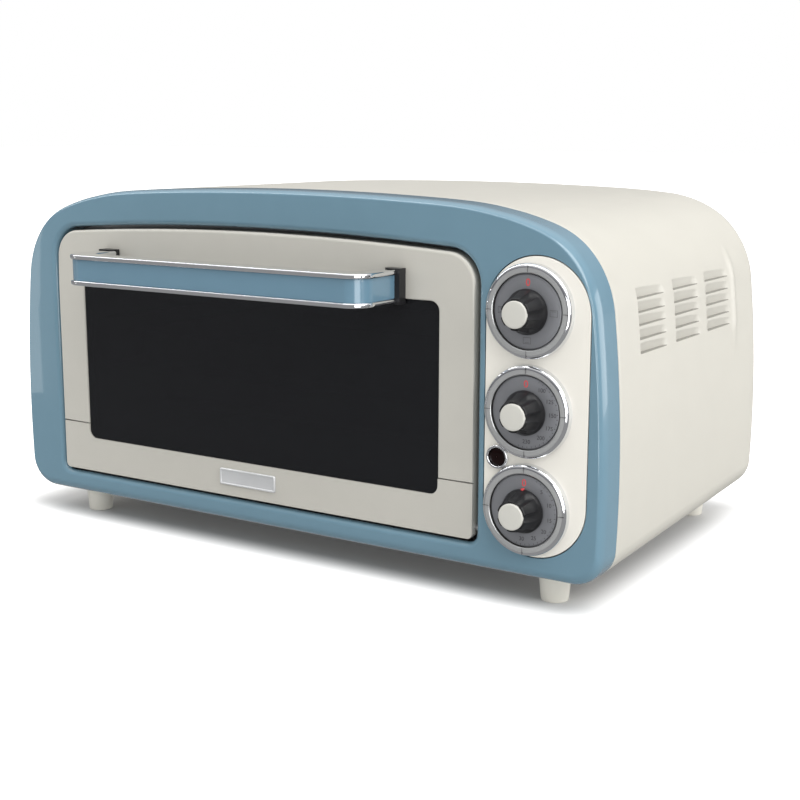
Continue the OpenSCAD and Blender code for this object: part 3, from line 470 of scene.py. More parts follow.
LOUVRE_COLUMNS, LOUVRE_ROWS = 3, 5
LOUVRE_Y, LOUVRE_PITCH_Y, LOUVRE_W = 57.3, 57.4, 43.5
LOUVRE_Z, LOUVRE_PITCH_Z, LOUVRE_H = 183.7, 8.13, 6.2
LOUVRE_IN = 3.0                         # how far a scoop is pressed in at its front lower corner
LOUVRE_FRONT, LOUVRE_REAR = 0.5, 10     # length of a scoop's steep front end and of its soft rear end
RIDGE_Y, RIDGE_W, RIDGE_OUT = 222.5, 4.0, 1.3
RIDGE_LOW, RIDGE_HIGH, RIDGE_FADE = 138, 204, 14
RELIEF_LOW, RELIEF_HIGH = 140, 204      # heights between which the sides carry scoops and ridge
SIDE_BAND = 30                          # a point counts as on a side within this distance of the full width
ROW_STEP = 0.55
DENSE_ROWS = [146 + ROW_STEP * i for i in range(int(50 / ROW_STEP))]
UNDER = [0, 46, 92, 138, 185]
UNDER_Y = (48, 225)                     # the opening underneath, which the base plate closes
COVER_IN, COVER_UP, COVER_DOWN, COVER_R = 8, 4, 10, 24      # the opening behind the back cover


def smooth_step(t):
    """Eases from 0 to 1."""
    t = min(max(t, 0), 1)
    return t * t * (3 - 2 * t)


def relief(y, z):
    """How far the side stands out at a place: rows of pressed-in scoops, and one upright ridge."""
    out = 0
    for col in range(LOUVRE_COLUMNS):
        u = y - LOUVRE_Y - col * LOUVRE_PITCH_Y
        if not 0 <= u <= LOUVRE_W:
            continue
        for row in range(LOUVRE_ROWS):
            v = z - LOUVRE_Z + row * LOUVRE_PITCH_Z
            if 0 <= v <= LOUVRE_H:
                tall = LOUVRE_H * (1 - 0.3 * (u / LOUVRE_W) ** 2)
                ends = (smooth_step(u / LOUVRE_FRONT) * (1 - 0.4 * u / LOUVRE_W)
                        * smooth_step((LOUVRE_W - u) / LOUVRE_REAR))
                out -= LOUVRE_IN * ends * max(1 - v / tall, 0) ** 0.8
    long = smooth_step((z - RIDGE_LOW) / RIDGE_FADE) * smooth_step((RIDGE_HIGH - z) / RIDGE_FADE)
    return out + RIDGE_OUT * long * math.exp(-((y - RIDGE_Y) / RIDGE_W) ** 2)


def shell_depths():
    """Depths of the shell's rings, close together where the scoops and the ridge turn."""
    relief_end = RIDGE_Y + 3 * RIDGE_W
    ys = [BEZEL_D + 0.9, 28, 33, 39, LOUVRE_Y - 1]
    y = LOUVRE_Y
    while y < relief_end:
        ys.append(y)
        u = (y - LOUVRE_Y) % LOUVRE_PITCH_Y
        fine = LOUVRE_W - LOUVRE_REAR < u < LOUVRE_W + 1 or y > RIDGE_Y - 3 * RIDGE_W
        y += 0.25 if u < 1 else 0.9 if fine else 2.5
    return sorted(set(ys + list(UNDER_Y))) + [relief_end + 3, FILLET_Y - 3]


def body_at(y, side=0, low=0):
    """The body at a depth, moved in by side and up by low at the bottom."""
    t = (y - BEZEL_D) / (FILLET_Y - BEZEL_D)
    t = min(max(t, 0), 1)
    arch = 1 / ((1 - t) / CROWN_R + t / REAR_CROWN_R)
    corner_r = max(BOTTOM_CORNER_R - side, MIN_CORNER_R)
    return Body(side, TOP_Z - TOP_DROP * t - side, BOTTOM_Z + UNDER_RISE * t + low,
                corner_r, arch, SHOULDER_DROP * (1 - t) + REAR_SAG * t)


def build_shell():
    """One lofted skin from the bezel to the rear face, open underneath and behind."""
    bm = bmesh.new()
    seam = [(2.5, BEZEL_D + 0.1), (0.9, BEZEL_D + 0.1), (0.3, BEZEL_D + 0.35)]
    outlines = [inset(d, DENSE_ROWS, UNDER) for d, y in seam]
    depths = [y for d, y in seam]
    for y in shell_depths():
        points = body_at(y).points(DENSE_ROWS, UNDER)
        shaped = []
        for x, z in points:
            if RELIEF_LOW < z < RELIEF_HIGH and abs(x) > HALF_W - SIDE_BAND:
                x += relief(y, z) * math.copysign(1, x)
            shaped.append((x, z))
        outlines.append(shaped)
        depths.append(y)
    for a in quarter_turn():
        side, low = REAR_R * (1 - math.cos(a)), UNDER_R * (1 - math.cos(a))
        y = FILLET_Y + REAR_R * math.sin(a)
        outlines.append(body_at(y, side, low).points(DENSE_ROWS, UNDER))
        depths.append(y)
    rings = loft(bm, outlines, depths)
    cover_low, cover_high = mm_box("back_cover")
    hole = rounded_box(cover_low.x + COVER_IN, cover_low.z + COVER_UP,
                       cover_high.x - COVER_IN, cover_high.z - COVER_DOWN, COVER_R)
    edge = ring(bm, hole, REAR_Y)
    fill(bm, [rings[-1], edge], (0, 1, 0))
    bridge(bm, edge, ring(bm, hole, REAR_Y - SHEET))
    doomed = []
    for face in bm.faces:
        c = face.calc_center_median()
        x, y, z = c.x / MM, (c.y - FRONT) / MM, c.z / MM
        if abs(x) < UNDER[-1] and UNDER_Y[0] < y < UNDER_Y[1] and z < BOTTOM_Z + UNDER_RISE + 2:
            doomed.append(face)
        # Faces of each scoop's bottom ledge get the painted shade.
        painted_shade_ledge = any(abs(z - (LOUVRE_Z - row * LOUVRE_PITCH_Z)) <= ROW_STEP / 2
                    for row in range(LOUVRE_ROWS))
        if painted_shade_ledge and abs(face.normal.z) > 0.5 and abs(x) > HALF_W - SIDE_BAND:
            face.material_index = 1
    bmesh.ops.delete(bm, geom=doomed, context="FACES")
    return finish(bm, "shell_skin", "oven_body", [CREAM, LOUVRE_PAINTED_SHADE], ["body_shell"], angle=50)


weighted(build_shell())


# ---- Door ----------------------------------------------------------------------------------

def frame_half(low, high):
    """Outline of the door's front between two heights, with the window cut out of it."""
    outer = door_outline(0)
    window = rounded_box(*WINDOW, WINDOW_R)
    x1, x2 = DOOR_X - DOOR_W / 2, DOOR_X + DOOR_W / 2

    def inside(points):
        return [p for p in points if low < p[1] < high]

    if low > DOOR_Z:
        edge = [(x2, low)] + inside(outer) + [(x1, low)]
        n = len(window) // 4
        hole = inside(window[n:] + window[:n])
        hole = [(WINDOW[2], low)] + hole + [(WINDOW[0], low)]
        return edge + hole[::-1]
    n = len(outer) // 2
    edge = [(x1, high)] + inside(outer[n:] + outer[:n]) + [(x2, high)]
    k = len(window) // 2
    hole = inside(window[k:] + window[:k])
    hole = [(WINDOW[0], high)] + hole + [(WINDOW[2], high)]
    return edge + hole[::-1]


SEAM_BEVEL, WINDOW_BEVEL, DOOR_BEVEL = 0.12, 0.45, 1.0     # share of the full rounding at each kind of edge
DOOR_ROUNDING = 1.9
RIM_IN, RIM_T, RIM_LAP = 0.05, 1.75, 0.1


def build_door_front(name, low, high, replaces):
    """One of the door's two front panels, with soft edges."""
    bm = bmesh.new()
    outline = frame_half(low, high)
    front, back = ring(bm, outline, 0), ring(bm, outline, DOOR_FRONT_T)
    bridge(bm, front, back)
    fill(bm, [front])
    fill(bm, [back], (0, 1, 0))
    weights = bm.edges.layers.float.new("bevel_weight_edge")
    for i, v in enumerate(front):
        edge = bm.edges.get((v, front[(i + 1) % len(front)]))
        (xa, za), (xb, zb) = outline[i], outline[(i + 1) % len(outline)]
        at_seam = abs(za - zb) < 1e-6 and min(abs(za - SEAM_Z), abs(zb - SEAM_Z)) < 1
        in_window = all(WINDOW[0] - 0.1 < x < WINDOW[2] + 0.1 for x in (xa, xb)) and \
            all(WINDOW[1] - 0.1 < z < WINDOW[3] + 0.1 for z in (za, zb))
        edge[weights] = SEAM_BEVEL if at_seam else WINDOW_BEVEL if in_window else DOOR_BEVEL
    piece = finish(bm, name, "door", [CREAM_DOOR], replaces, angle=40)
    modifier = piece.modifiers.new("edges", "BEVEL")
    modifier.width = DOOR_ROUNDING * MM
    modifier.segments = 5
    modifier.limit_method = "WEIGHT"
    return weighted(piece)


build_door_front("door_upper_skin", SEAM_Z + SEAM / 2, DOOR_TOP + 1, ["door_panel"])
build_door_front("door_lower_skin", DOOR_Z - 1, SEAM_Z - SEAM / 2, ["door_lower_panel"])


def build_door_rim():
    """Turned-back edge of both door panels, behind the front sheet."""
    bm = bmesh.new()
    outside, inside = door_outline(RIM_IN), door_outline(RIM_IN + RIM_T)
    outer, back = ring(bm, outside, DOOR_FRONT_T - RIM_LAP), ring(bm, outside, DOOR_T)
    inner_back, inner = ring(bm, inside, DOOR_T), ring(bm, inside, DOOR_FRONT_T - RIM_LAP)
    for a, b in ((outer, back), (back, inner_back), (inner_back, inner)):
        bridge(bm, a, b)
    return finish(bm, "door_rim", "door", [CREAM_DOOR], (), angle=40)


build_door_rim()


PANE_LAP, PANE_R = 4, 9
PANE_FRONT, PANE_BACK = 1.3, 5.3


def build_glass():
    """Window pane, a little larger than the window."""
    bm = bmesh.new()
    x1, z1, x2, z2 = WINDOW
    pane = rounded_box(x1 - PANE_LAP, z1 - PANE_LAP, x2 + PANE_LAP, z2 + PANE_LAP, PANE_R)
    slab(bm, pane, PANE_FRONT, PANE_BACK)
    return finish(bm, "window_pane", "door", [GLASS], ["door_glass"], angle=40, bevel=0.4)


build_glass()


BADGE_STEPS = ((0, 0), (0, -1.0), (0.35, -1.4), (1.0, -1.4), (1.3, -0.95), (1.5, -0.85))


def build_badge():
    """Blank plate with a raised rim; each step is (distance in, y)."""
    low, high = mm_box("badge_plate")
    bm = bmesh.new()
    rings = []
    for d, y in BADGE_STEPS:
        outline = rounded_box(low.x + d, low.z + d, high.x - d, high.z - d, max(1.2 - d * 0.6, 0.3), 4)
        rings.append(ring(bm, outline, y))
    for a, b in zip(rings, rings[1:]):
        bridge(bm, a, b)
    bm.faces.new(rings[-1])
    return finish(bm, "badge_blank", "door", [BADGE], ["badge_plate"], angle=40)


build_badge()


# ---- Handle --------------------------------------------------------------------------------

BAND_LOW, BAND_HIGH = mm_box("handle_bar")
HANDLE_R, HANDLE_INNER_R = 13, 5
HANDLE_T = 12
TRIM_LAP = 1.5
BAND_ROUNDING, TRIM_ROUNDING = 0.3, 1.2


def u_shape(grow, inner_grow):
    """Outline of the handle seen from above, as (x, y)."""
    x1, x2 = BAND_LOW.x - grow, BAND_HIGH.x + grow
    y1, y2 = BAND_LOW.y - grow, BAND_HIGH.y
    r = HANDLE_R + grow
    t = HANDLE_T + grow + inner_grow
    outer = arc(x1 + r, y1 + r, r, 180, 270, 12) + arc(x2 - r, y1 + r, r, 270, 360, 12)
    ri = HANDLE_INNER_R
    inner = arc(x2 - t - ri, y1 + t + ri, ri, 0, -90, 8) + arc(x1 + t + ri, y1 + t + ri, ri, 270, 180, 8)
    return [(x1, y2)] + outer + [(x2, y2), (x2 - t, y2)] + inner + [(x1 + t, y2)]


def build_bar(name, outline, replaced, material, rounding):
    """One layer of the handle, as high as the CAD node that it replaces."""
    z1, z2 = mm_box(replaced)[0].z, mm_box(replaced)[1].z
    bm = bmesh.new()
    low = [bm.verts.new(at(x, y, z1)) for x, y in outline]
    high = [bm.verts.new(at(x, y, z2)) for x, y in outline]
    bridge(bm, low, high)
    fill(bm, [low], (0, 0, -1))
    fill(bm, [high], (0, 0, 1))
    piece = finish(bm, name, "door", [material], [replaced], angle=40)
    modifier = piece.modifiers.new("edges", "BEVEL")
    modifier.width = rounding * MM
    modifier.segments = 4
    modifier.limit_method = "ANGLE"
    modifier.angle_limit = math.radians(40)
    return weighted(piece)


build_bar("handle_band", u_shape(0, 0), "handle_bar", BLUE_BAND, BAND_ROUNDING)
for end in ("top", "bottom"):
    build_bar("handle_cap_" + end, u_shape(TRIM_LAP, TRIM_LAP), "handle_trim_" + end, CHROME,
              TRIM_ROUNDING)


# ---- Control panel, dials and knobs --------------------------------------------------------

def build_panel():
    """Face of the control panel, flush with the bezel."""
    bm = bmesh.new()
    rings = loft(bm, [pill(0), pill(0), pill(0.12), pill(0.45)], [PANEL_RECESS, 0.45, 0.12, 0])
    fill(bm, [rings[-1]])
    return weighted(finish(bm, "panel_skin", "oven_body", [CREAM_PANEL], ["control_panel"],
                           angle=50))


build_panel()


RING_H, RING_INNER_R = 5.1, DIAL_R + 0.4
RING_ROUND_R, RING_ROUND_IN = 2.4, 2.6      # rounding of the ring's outer edge
RING_SLOPE_W = 2.9                          # the plated slope; the rest of the face is satin
RING_STEPS, PLATE_STEPS = 128, 96
PLATE_Y, PLATE_EDGE_Y = -4.0, -2.6
INK_Y = PLATE_Y - 0.04


def ring_profile():
    """Section of a dial's metal ring: a rounded outer slope, a flat face and a small lip."""
    outer, inner, h = RING_R, RING_INNER_R, RING_H
    slope = [(outer, 0), (outer, -1.0), (outer - 0.15, -1.8)]
    for q in range(10, 91, 10):
        a = math.radians(q)
        slope.append((outer - RING_ROUND_IN + RING_ROUND_R * math.cos(a),
                      -(h - RING_ROUND_R - 0.3) - RING_ROUND_R * math.sin(a)))
    return slope + [(inner + 0.9, -h), (inner + 0.35, -h + 0.1), (inner, -h + 0.5)]


def build_ring(name, z):
    """Metal ring of one dial, with four dark ticks and an inner wall painted near-black as painted shade
    for the gap round the plate.
    """
    bm = bmesh.new()
    face = lathe(bm, DIAL_X, z, ring_profile(), RING_STEPS)
    for side in bm.faces:
        middle = side.calc_center_median()
        if math.hypot(middle.x / MM - DIAL_X, middle.z / MM - z) > RING_R - RING_SLOPE_W:
            side.material_index = 2
    # The inner wall is painted near-black: painted shade for the gap between ring and plate.
    inside = [(RING_INNER_R, -RING_H + 0.5), (RING_INNER_R, -0.5)]
    wall = lathe(bm, DIAL_X, z, inside, RING_STEPS, material=1)
    bridge(bm, face[-1], wall[0], 1)
    for k in range(4):
        tick(bm, z, math.radians(90 * k), DIAL_R + 0.8, RING_R - 1.2, 0.32, -RING_H - 0.03, 1)
    weighted(finish(bm, "ring_" + name, "oven_body", [SATIN, RING_SHADE_AND_TICKS, CHROME], ["dial_ring_" + name],
                    angle=40))


def build_plate(name, z):
    """Round plate of one dial, a little below its ring's face."""
    bm = bmesh.new()
    edge = DIAL_R - 0.5
    profile = [(r, PLATE_Y) for r in (0.02, 4, 10, 16, edge - 0.3)]
    profile += [(edge, PLATE_Y + 0.2), (edge, PLATE_EDGE_Y), (DIAL_R + 0.35, PLATE_EDGE_Y)]
    lathe(bm, DIAL_X, z, profile, PLATE_STEPS)
    finish(bm, "plate_" + name, "oven_body", [DIAL], ["dial_plate_" + name], angle=40)


def build_dials():
    for name, z in DIAL_Z.items():
        build_ring(name, z)
        build_plate(name, z)


def tick(bm, z, a, r1, r2, width, y, material):
    """Thin flat mark that points away from a dial's centre."""
    along = Vector((math.cos(a), math.sin(a)))
    across = Vector((-along.y, along.x)) * width / 2
    corners = [along * r1 - across, along * r2 - across, along * r2 + across, along * r1 + across]
    face = bm.faces.new([bm.verts.new(at(DIAL_X + c.x, y, z + c.y)) for c in corners])
    face.material_index = material


build_dials()


def glyph(text, x, z, size, material, parts):
    """A generic number on a dial plate, as flat raised ink."""
    curve = bpy.data.curves.new("glyph", "FONT")
    curve.body = text
    curve.size = size * MM
    curve.align_x, curve.align_y = "CENTER", "CENTER"
    curve.extrude = 0.03 * MM
    holder = bpy.data.objects.new("glyph", curve)
    bpy.context.scene.collection.objects.link(holder)
    bpy.context.view_layer.update()
    mesh = holder.to_mesh()
    for v in mesh.vertices:
        v.co = at(x + v.co.x / MM, PLATE_Y - 0.03 - v.co.z / MM, z + v.co.y / MM)
    parts.append((mesh.copy(), material))
    holder.to_mesh_clear()
    bpy.data.objects.remove(holder)


def dial_place(z, clock, r):
    """The place on a dial at an hour of the clock."""
    a = math.radians(90 - clock * 30)
    return DIAL_X + r * math.cos(a), z + r * math.sin(a)


PRINT_R = 16.6
MARK_SIZE, NUMBER_SIZE = 6.0, 3.4
FINE_TICKS, FINE_START, FINE_STEP = 22, 24, 8       # count, and degrees clockwise from the off mark


def build_prints():
    """Ink on the three dials: an off mark, and symbols or numbers clockwise from it."""
    r = PRINT_R
    scales = {
        "function": [],
        "thermostat": [("100", 1.2), ("125", 2.1), ("150", 3.0), ("175", 3.9), ("200", 4.8), ("230", 5.9)],
        "timer": [("5", 1.4), ("10", 2.4), ("15", 3.4), ("20", 4.3), ("25", 5.2), ("30", 6.1)],
    }
    for name, z in DIAL_Z.items():
        parts = []
        x0, z0 = dial_place(z, 0, r)
        glyph("0", x0, z0, MARK_SIZE, 1, parts)
        for text, clock in scales[name]:
            x1, z1 = dial_place(z, clock, r + 0.6)
            glyph(text, x1, z1, NUMBER_SIZE, 0, parts)
        bm = bmesh.new()
        for mesh, material in parts:
            before = len(bm.faces)
            bm.from_mesh(mesh)
            bm.faces.ensure_lookup_table()
            for face in bm.faces[before:]:
                face.material_index = material
        if name == "function":
            for clock, bars in ((3, 1), (6, 2), (9, 3)):
                symbol(bm, *dial_place(z, clock, r), bars)
        else:
            for k in range(FINE_TICKS):
                a = math.radians(90 - FINE_START - k * FINE_STEP)
                tick(bm, z, a, DIAL_R - 1.9, DIAL_R - 0.9, 0.28, INK_Y, 0)
        finish(bm, "ink_" + name, "oven_body", [INK, RED_INK], angle=40, smooth=False, merge=False)


SYMBOL_SCALE = 0.55


def symbol(bm, x, z, bars):
    """Small frame with bars in it: heat from above, below or both."""
    w, h, t = 4.4, 3.4, 0.32
    pieces = [(-w, h - t, w, h), (-w, -h, w, -h + t), (-w, -h, -w + t, h), (w - t, -h, w, h)]
    if bars & 1:
        pieces.append((-w * 0.6, h - 1.6, w * 0.6, h - 1.6 + t))
    if bars & 2:
        pieces.append((-w * 0.6, -h + 1.3, w * 0.6, -h + 1.3 + t))
    for x1, z1, x2, z2 in pieces:
        corners = ((x1, z1), (x2, z1), (x2, z2), (x1, z2))
        bm.faces.new([bm.verts.new(at(x + cx * SYMBOL_SCALE, INK_Y, z + cz * SYMBOL_SCALE))
                      for cx, cz in corners])


build_prints()


KNOB_LOW, KNOB_HIGH = mm_box("knob_thermostat")
CAP_LOW, CAP_HIGH = mm_box("knob_cap_thermostat")
KNOB_FOOT, KNOB_TIP = KNOB_HIGH.y, KNOB_LOW.y
KNOB_BASE_R, KNOB_TIP_R, CAP_R = 13.2, 9.3, (CAP_HIGH.x - CAP_LOW.x) / 2
FLUTES, FLUTE_DEPTH, FLUTE_FADE = 6, 1.5, 5
CENTRE = 0.02           # radius at which a turned face ends, short of its axis


def fluted(r, y, a):
    """Finger flutes that fade towards the knob's foot."""
    depth = FLUTE_DEPTH * smooth_step((KNOB_FOOT - 1.5 - y) / FLUTE_FADE)
    wave = max(math.cos(FLUTES * a), 0) ** 0.7
    return r - depth * wave


def build_knob(name, z):
    """Tapering fluted knob with a shallow seat for its cap."""
    bm = bmesh.new()
    foot, tip, base_r, tip_r, seat_r = KNOB_FOOT, KNOB_TIP, KNOB_BASE_R, KNOB_TIP_R, CAP_R + 0.1
    profile = [(CENTRE, foot), (base_r - 0.6, foot), (base_r, foot - 0.4), (base_r, foot - 1.4)]
    low_r, low_y, high_y = base_r - 0.5, foot - 1.6, tip + 0.6
    steps = 14
    for i in range(1, steps + 1):
        t = i / steps
        profile.append((low_r + (tip_r - low_r) * t, low_y + (high_y - low_y) * t))
    profile += [(tip_r - 0.15, tip + 0.25), (tip_r - 0.5, tip), (seat_r, tip), (seat_r, high_y),
                (CENTRE, high_y)]
    lathe(bm, DIAL_X, z, profile, 144, fluted)
    weighted(finish(bm, "knob_body_" + name, name + "_control", [BLACK], ["knob_" + name],
                    angle=40))


def build_cap(name, z):
    """Slightly crowned cap on a knob's end."""
    bm = bmesh.new()
    top = CAP_LOW.y
    profile = [(CAP_R - 0.1, KNOB_TIP + 0.5), (CAP_R - 0.1, top + 0.8)]
    for a in (math.radians(q) for q in (20, 40, 60, 80)):
        profile.append((CAP_R - 0.7 + 0.6 * math.cos(a), top + 0.8 - 0.6 * math.sin(a)))
    profile += [(r, top + 0.2 * (r / CAP_R) ** 2) for r in (6.5, 5, 3.5, 2, CENTRE)]
    lathe(bm, DIAL_X, z, profile, 64)
    finish(bm, "cap_" + name, name + "_control", [CAP_PLASTIC], ["knob_cap_" + name],
           angle=60)


def build_pointer(name, z):
    """Small red mark at a knob's foot."""
    bm = bmesh.new()
    low_z, high_z = z + KNOB_BASE_R - 1.5, z + KNOB_BASE_R + 0.6
    slab(bm, rounded_box(DIAL_X - 0.8, low_z, DIAL_X + 0.8, high_z, 0.4, 3), KNOB_FOOT - 2.0, KNOB_FOOT)
    finish(bm, "pointer_" + name, name + "_control", [RED_INK], (), angle=40, bevel=0.2)


def build_knobs():
    for name, z in DIAL_Z.items():
        build_knob(name, z)
        build_cap(name, z)
        if name == "timer":
            build_pointer(name, z)


build_knobs()


LAMP_RIM = 1.5          # width of the lamp's rounded ring


def build_lamp():
    """Pilot lamp: a rounded ring round a domed lens."""
    low, high = mm_box("pilot_lamp_ring")
    x, z, r = (low.x + high.x) / 2, (low.z + high.z) / 2, (high.x - low.x) / 2
    bm = bmesh.new()
    half = LAMP_RIM / 2
    turn = [math.radians(q) for q in range(0, 181, 15)]
    bead = [(r - half + half * math.cos(a), -1.7 - 0.7 * math.sin(a)) for a in turn]
    lathe(bm, x, z, [(r, 0)] + bead + [(r - LAMP_RIM, 0)], 64)
    finish(bm, "lamp_ring", "oven_body", [CHROME], ["pilot_lamp_ring"], angle=60)
    bm = bmesh.new()
    lens_r = r - LAMP_RIM - 0.05
    turn = [math.radians(q) for q in (0, 15, 30, 45, 60, 75, 89)]
    dome = [(lens_r * math.cos(a), -0.6 - 1.3 * math.sin(a)) for a in turn]
    lathe(bm, x, z, [(lens_r, 0.2)] + dome, 64)
    finish(bm, "lamp_lens", "oven_body", [LENS], ["pilot_lamp_lens"], angle=60)


build_lamp()


# ---- Feet ----------------------------------------------------------------------------------

FOOT_TOP_R, FOOT_BOTTOM_R = 10.4, 8.6
FOOT_WELL_R, FOOT_WELL_H = 4.5, 8       # the well that hides the foot's screw
FOOT_STEPS = 48


def build_feet():
    """Four tapered feet; the rear ones reach up to the rising underside."""
    low, high = mm_box("feet")
    bm = bmesh.new()
    top_r, bottom_r, well_r = FOOT_TOP_R, FOOT_BOTTOM_R, FOOT_WELL_R
    turn = [2 * math.pi * i / FOOT_STEPS for i in range(FOOT_STEPS)]
    for x in (low.x + top_r, high.x - top_r):
        for y, top in ((low.y + top_r, BOTTOM_Z), (high.y - top_r, high.z)):
            profile = [(well_r, FOOT_WELL_H), (well_r, 0.3), (well_r + 0.3, 0), (bottom_r - 0.8, 0),
                       (bottom_r - 0.2, 0.25), (bottom_r, 0.9), (top_r - 0.1, top - 0.4), (top_r, top),
                       (0.1, top)]
            rows = []
            for r, z in profile:
                rows.append([bm.verts.new(at(x + r * math.cos(a), y + r * math.sin(a), z)) for a in turn])
            for a, b in zip(rows, rows[1:]):
                bridge(bm, a, b)
    return finish(bm, "feet_skin", "oven_body", [CREAM_PLASTIC], ["feet"], angle=50)


build_feet()


# ---- Stage, lights and camera --------------------------------------------------------------

FLOOR_PAINTED_LIGHT, PAINTED_LIGHT_REACH = 0.8, 0.05            # strength of the floor's painted light, an emission that whitens its shadow, and the metres it takes to be full
PAINTED_LIGHT_FRONT, PAINTED_LIGHT_RIGHT = 27, 34         # how far under the object the painted light starts, in millimetres


def floor_paint():
    """White floor with painted light: a camera-only emission lifts it to full white close to the object's
    outline, and reflections see it as a dim grey painted emission.
    """
    material = surface("floor_white", (0.58, 0.58, 0.58), 0.8, vary=0.002, bump=0.0, specular=0.0)
    tree = material.node_tree
    shader, out = tree.nodes["Principled BSDF"], tree.nodes["Material Output"]
    path = node(tree, "ShaderNodeLightPath")
    # Painted reflection: glossy rays see the floor as this dim grey emission.
    painted_reflection = node(tree, "ShaderNodeEmission", Color=(1, 1, 1, 1), Strength=0.30)
    place = node(tree, "ShaderNodeTexCoord")
    low, high = at(-HALF_W, PAINTED_LIGHT_FRONT, 0), at(HALF_W - PAINTED_LIGHT_RIGHT, REAR_Y, 0)
    chain = [("SUBTRACT", (low + high) / 2), ("ABSOLUTE", None), ("SUBTRACT", (high - low) / 2),
             ("MAXIMUM", (0, 0, 0)), ("LENGTH", None)]
    last = place.outputs["Object"]
    for operation, value in chain:
        step = node(tree, "ShaderNodeVectorMath", operation=operation)
        tree.links.new(last, step.inputs[0])
        if value is not None:
            step.inputs[1].default_value = value
        last = step.outputs["Value"] if operation == "LENGTH" else step.outputs["Vector"]
    reach = node(tree, "ShaderNodeMapRange", interpolation_type="SMOOTHSTEP")
    reach.inputs["From Max"].default_value = PAINTED_LIGHT_REACH
    reach.inputs["To Max"].default_value = FLOOR_PAINTED_LIGHT
    tree.links.new(last, reach.inputs["Value"])
    seen = node(tree, "ShaderNodeMath", operation="MULTIPLY")
    tree.links.new(reach.outputs["Result"], seen.inputs[0])
    tree.links.new(path.outputs["Is Camera Ray"], seen.inputs[1])
    # Painted light: a camera-only emission that whitens the floor's shadow beyond the object's outline.
    painted_light = node(tree, "ShaderNodeEmission", Color=(1, 1, 1, 1))
    tree.links.new(seen.outputs[0], painted_light.inputs["Strength"])
    lit = node(tree, "ShaderNodeAddShader")
    tree.links.new(shader.outputs[0], lit.inputs[0])
    tree.links.new(painted_light.outputs[0], lit.inputs[1])
    mix = node(tree, "ShaderNodeMixShader")
    tree.links.new(path.outputs["Is Glossy Ray"], mix.inputs[0])
    tree.links.new(lit.outputs[0], mix.inputs[1])
    tree.links.new(painted_reflection.outputs[0], mix.inputs[2])
    tree.links.new(mix.outputs[0], out.inputs["Surface"])
    return material


def build_stage():
    """Wide flat floor under the feet."""
    size, steps = 30, 12
    bm = bmesh.new()
    places = [(i / steps - 0.5) * size for i in range(steps + 1)]
    grid = [[bm.verts.new((x, y, 0)) for y in places] for x in places]
    for i in range(steps):
        for j in range(steps):
            bm.faces.new((grid[i][j], grid[i + 1][j], grid[i + 1][j + 1], grid[i][j + 1]))
    mesh = bpy.data.meshes.new("floor")
    bm.to_mesh(mesh)
    bm.free()
    floor = bpy.data.objects.new("floor", mesh)
    bpy.context.scene.collection.objects.link(floor)
    mesh.materials.append(floor_paint())


def aim(holder, place, target):
    """Puts a light at a place, turned towards a target."""
    holder.location = place
    holder.rotation_euler = (Vector(target) - Vector(place)).to_track_quat("-Z", "Y").to_euler()
    bpy.context.scene.collection.objects.link(holder)


def area(name, place, target, size_x, size_y, power, gloss_only=False):
    """Rectangular light; one that is gloss_only shows in shiny surfaces and lights nothing else."""
    data = bpy.data.lights.new(name, "AREA")
    data.energy = power
    data.shape = "RECTANGLE"
    data.size, data.size_y = size_x, size_y
    lamp = bpy.data.objects.new(name, data)
    lamp.visible_diffuse = not gloss_only
    lamp.visible_camera = False
    aim(lamp, place, target)


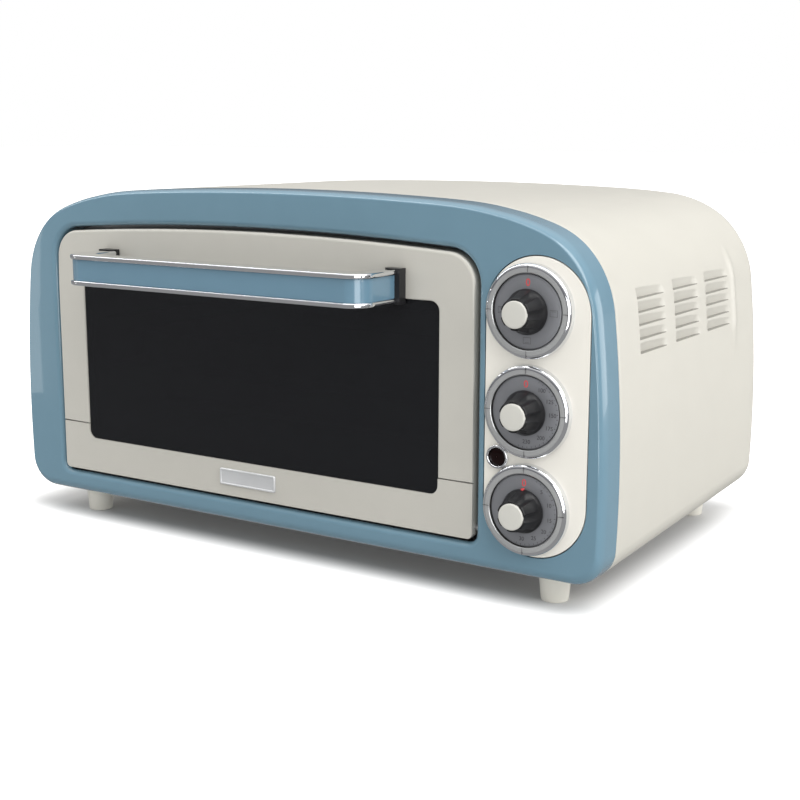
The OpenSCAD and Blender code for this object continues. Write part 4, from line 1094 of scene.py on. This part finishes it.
def build_world():
    """White behind the object, even sky light, and a darker room with a bright ceiling for reflections."""
    world = bpy.data.worlds.new("studio")
    world.use_nodes = True
    tree = world.node_tree
    tree.nodes.clear()
    path = node(tree, "ShaderNodeLightPath")
    sky = node(tree, "ShaderNodeBackground", Color=(1.0, 0.995, 0.985, 1), Strength=1.0)
    white = node(tree, "ShaderNodeBackground", Color=(1, 1, 1, 1), Strength=1.0)
    room = node(tree, "ShaderNodeBackground", Strength=1.0)
    place = node(tree, "ShaderNodeTexCoord")
    parts = node(tree, "ShaderNodeSeparateXYZ")
    ramp = node(tree, "ShaderNodeValToRGB")
    stops = ramp.color_ramp.elements
    stops[0].position, stops[0].color = 0.10, (0.16, 0.16, 0.17, 1)
    stops[1].position, stops[1].color = 0.85, (1.0, 1.0, 1.0, 1)
    middle = stops.new(0.45)
    middle.color = (0.42, 0.42, 0.43, 1)
    tree.links.new(place.outputs["Generated"], parts.inputs[0])
    tree.links.new(parts.outputs["Z"], ramp.inputs["Fac"])
    tree.links.new(ramp.outputs["Color"], room.inputs["Color"])
    glossy = node(tree, "ShaderNodeMixShader")
    camera = node(tree, "ShaderNodeMixShader")
    out = node(tree, "ShaderNodeOutputWorld")
    tree.links.new(path.outputs["Is Glossy Ray"], glossy.inputs[0])
    tree.links.new(sky.outputs[0], glossy.inputs[1])
    tree.links.new(room.outputs[0], glossy.inputs[2])
    tree.links.new(path.outputs["Is Camera Ray"], camera.inputs[0])
    tree.links.new(glossy.outputs[0], camera.inputs[1])
    tree.links.new(white.outputs[0], camera.inputs[2])
    tree.links.new(camera.outputs[0], out.inputs[0])
    bpy.context.scene.world = world


def build_lights():
    """Sky, a broad key from the upper right, three strips, and cards for the right side and the edges."""
    build_world()
    middle = (0, 0, 0.12)
    data = bpy.data.lights.new("key", "SUN")
    data.energy = 2.1
    data.angle = math.radians(50)
    aim(bpy.data.objects.new("key", data), (0.85, -0.3, 1.2), middle)
    area("right_strip", (1.5, -0.55, 0.55), middle, 0.25, 1.1, 4)
    area("top_strip", (0.0, -0.5, 1.5), middle, 1.4, 0.3, 5)
    area("left_strip", (-0.80, -0.2, 1.05), middle, 0.12, 1.2, 3)
    area("side_card", (0.85, 0.48, 0.16), (0.2, 0, 0.08), 0.5, 0.5, 1.6)
    area("corner_card", (0.39, -0.44, 0.14), (0.1, -0.13, 0.17), 0.22, 0.26, 0.76, gloss_only=True)
    area("edge_card", (-0.585, -0.45, 0.07), (-0.23, -0.11, 0.12), 0.02, 0.22, 0.03, gloss_only=True)


def build_camera():
    """Right of the front and a little above, as a long lens sees it from under a metre away."""
    data = bpy.data.cameras.new("camera")
    data.lens = 61.82
    data.sensor_width = 36
    camera = bpy.data.objects.new("camera", data)
    camera.location = at(539.4, -697.9, 281.7)
    right = Vector((0.84362, 0.53694, 0.00245))
    up = Vector((-0.10602, 0.16209, 0.98106))
    back = right.cross(up)
    turn = camera.matrix_world.to_3x3()
    for row in range(3):
        turn[row] = (right[row], up[row], back[row])
    camera.rotation_euler = turn.to_euler()
    bpy.context.scene.collection.objects.link(camera)
    bpy.context.scene.camera = camera


build_stage()
build_lights()
build_camera()
bpy.context.scene.view_settings.view_transform = "Standard"
bpy.context.scene.view_settings.look = "None"
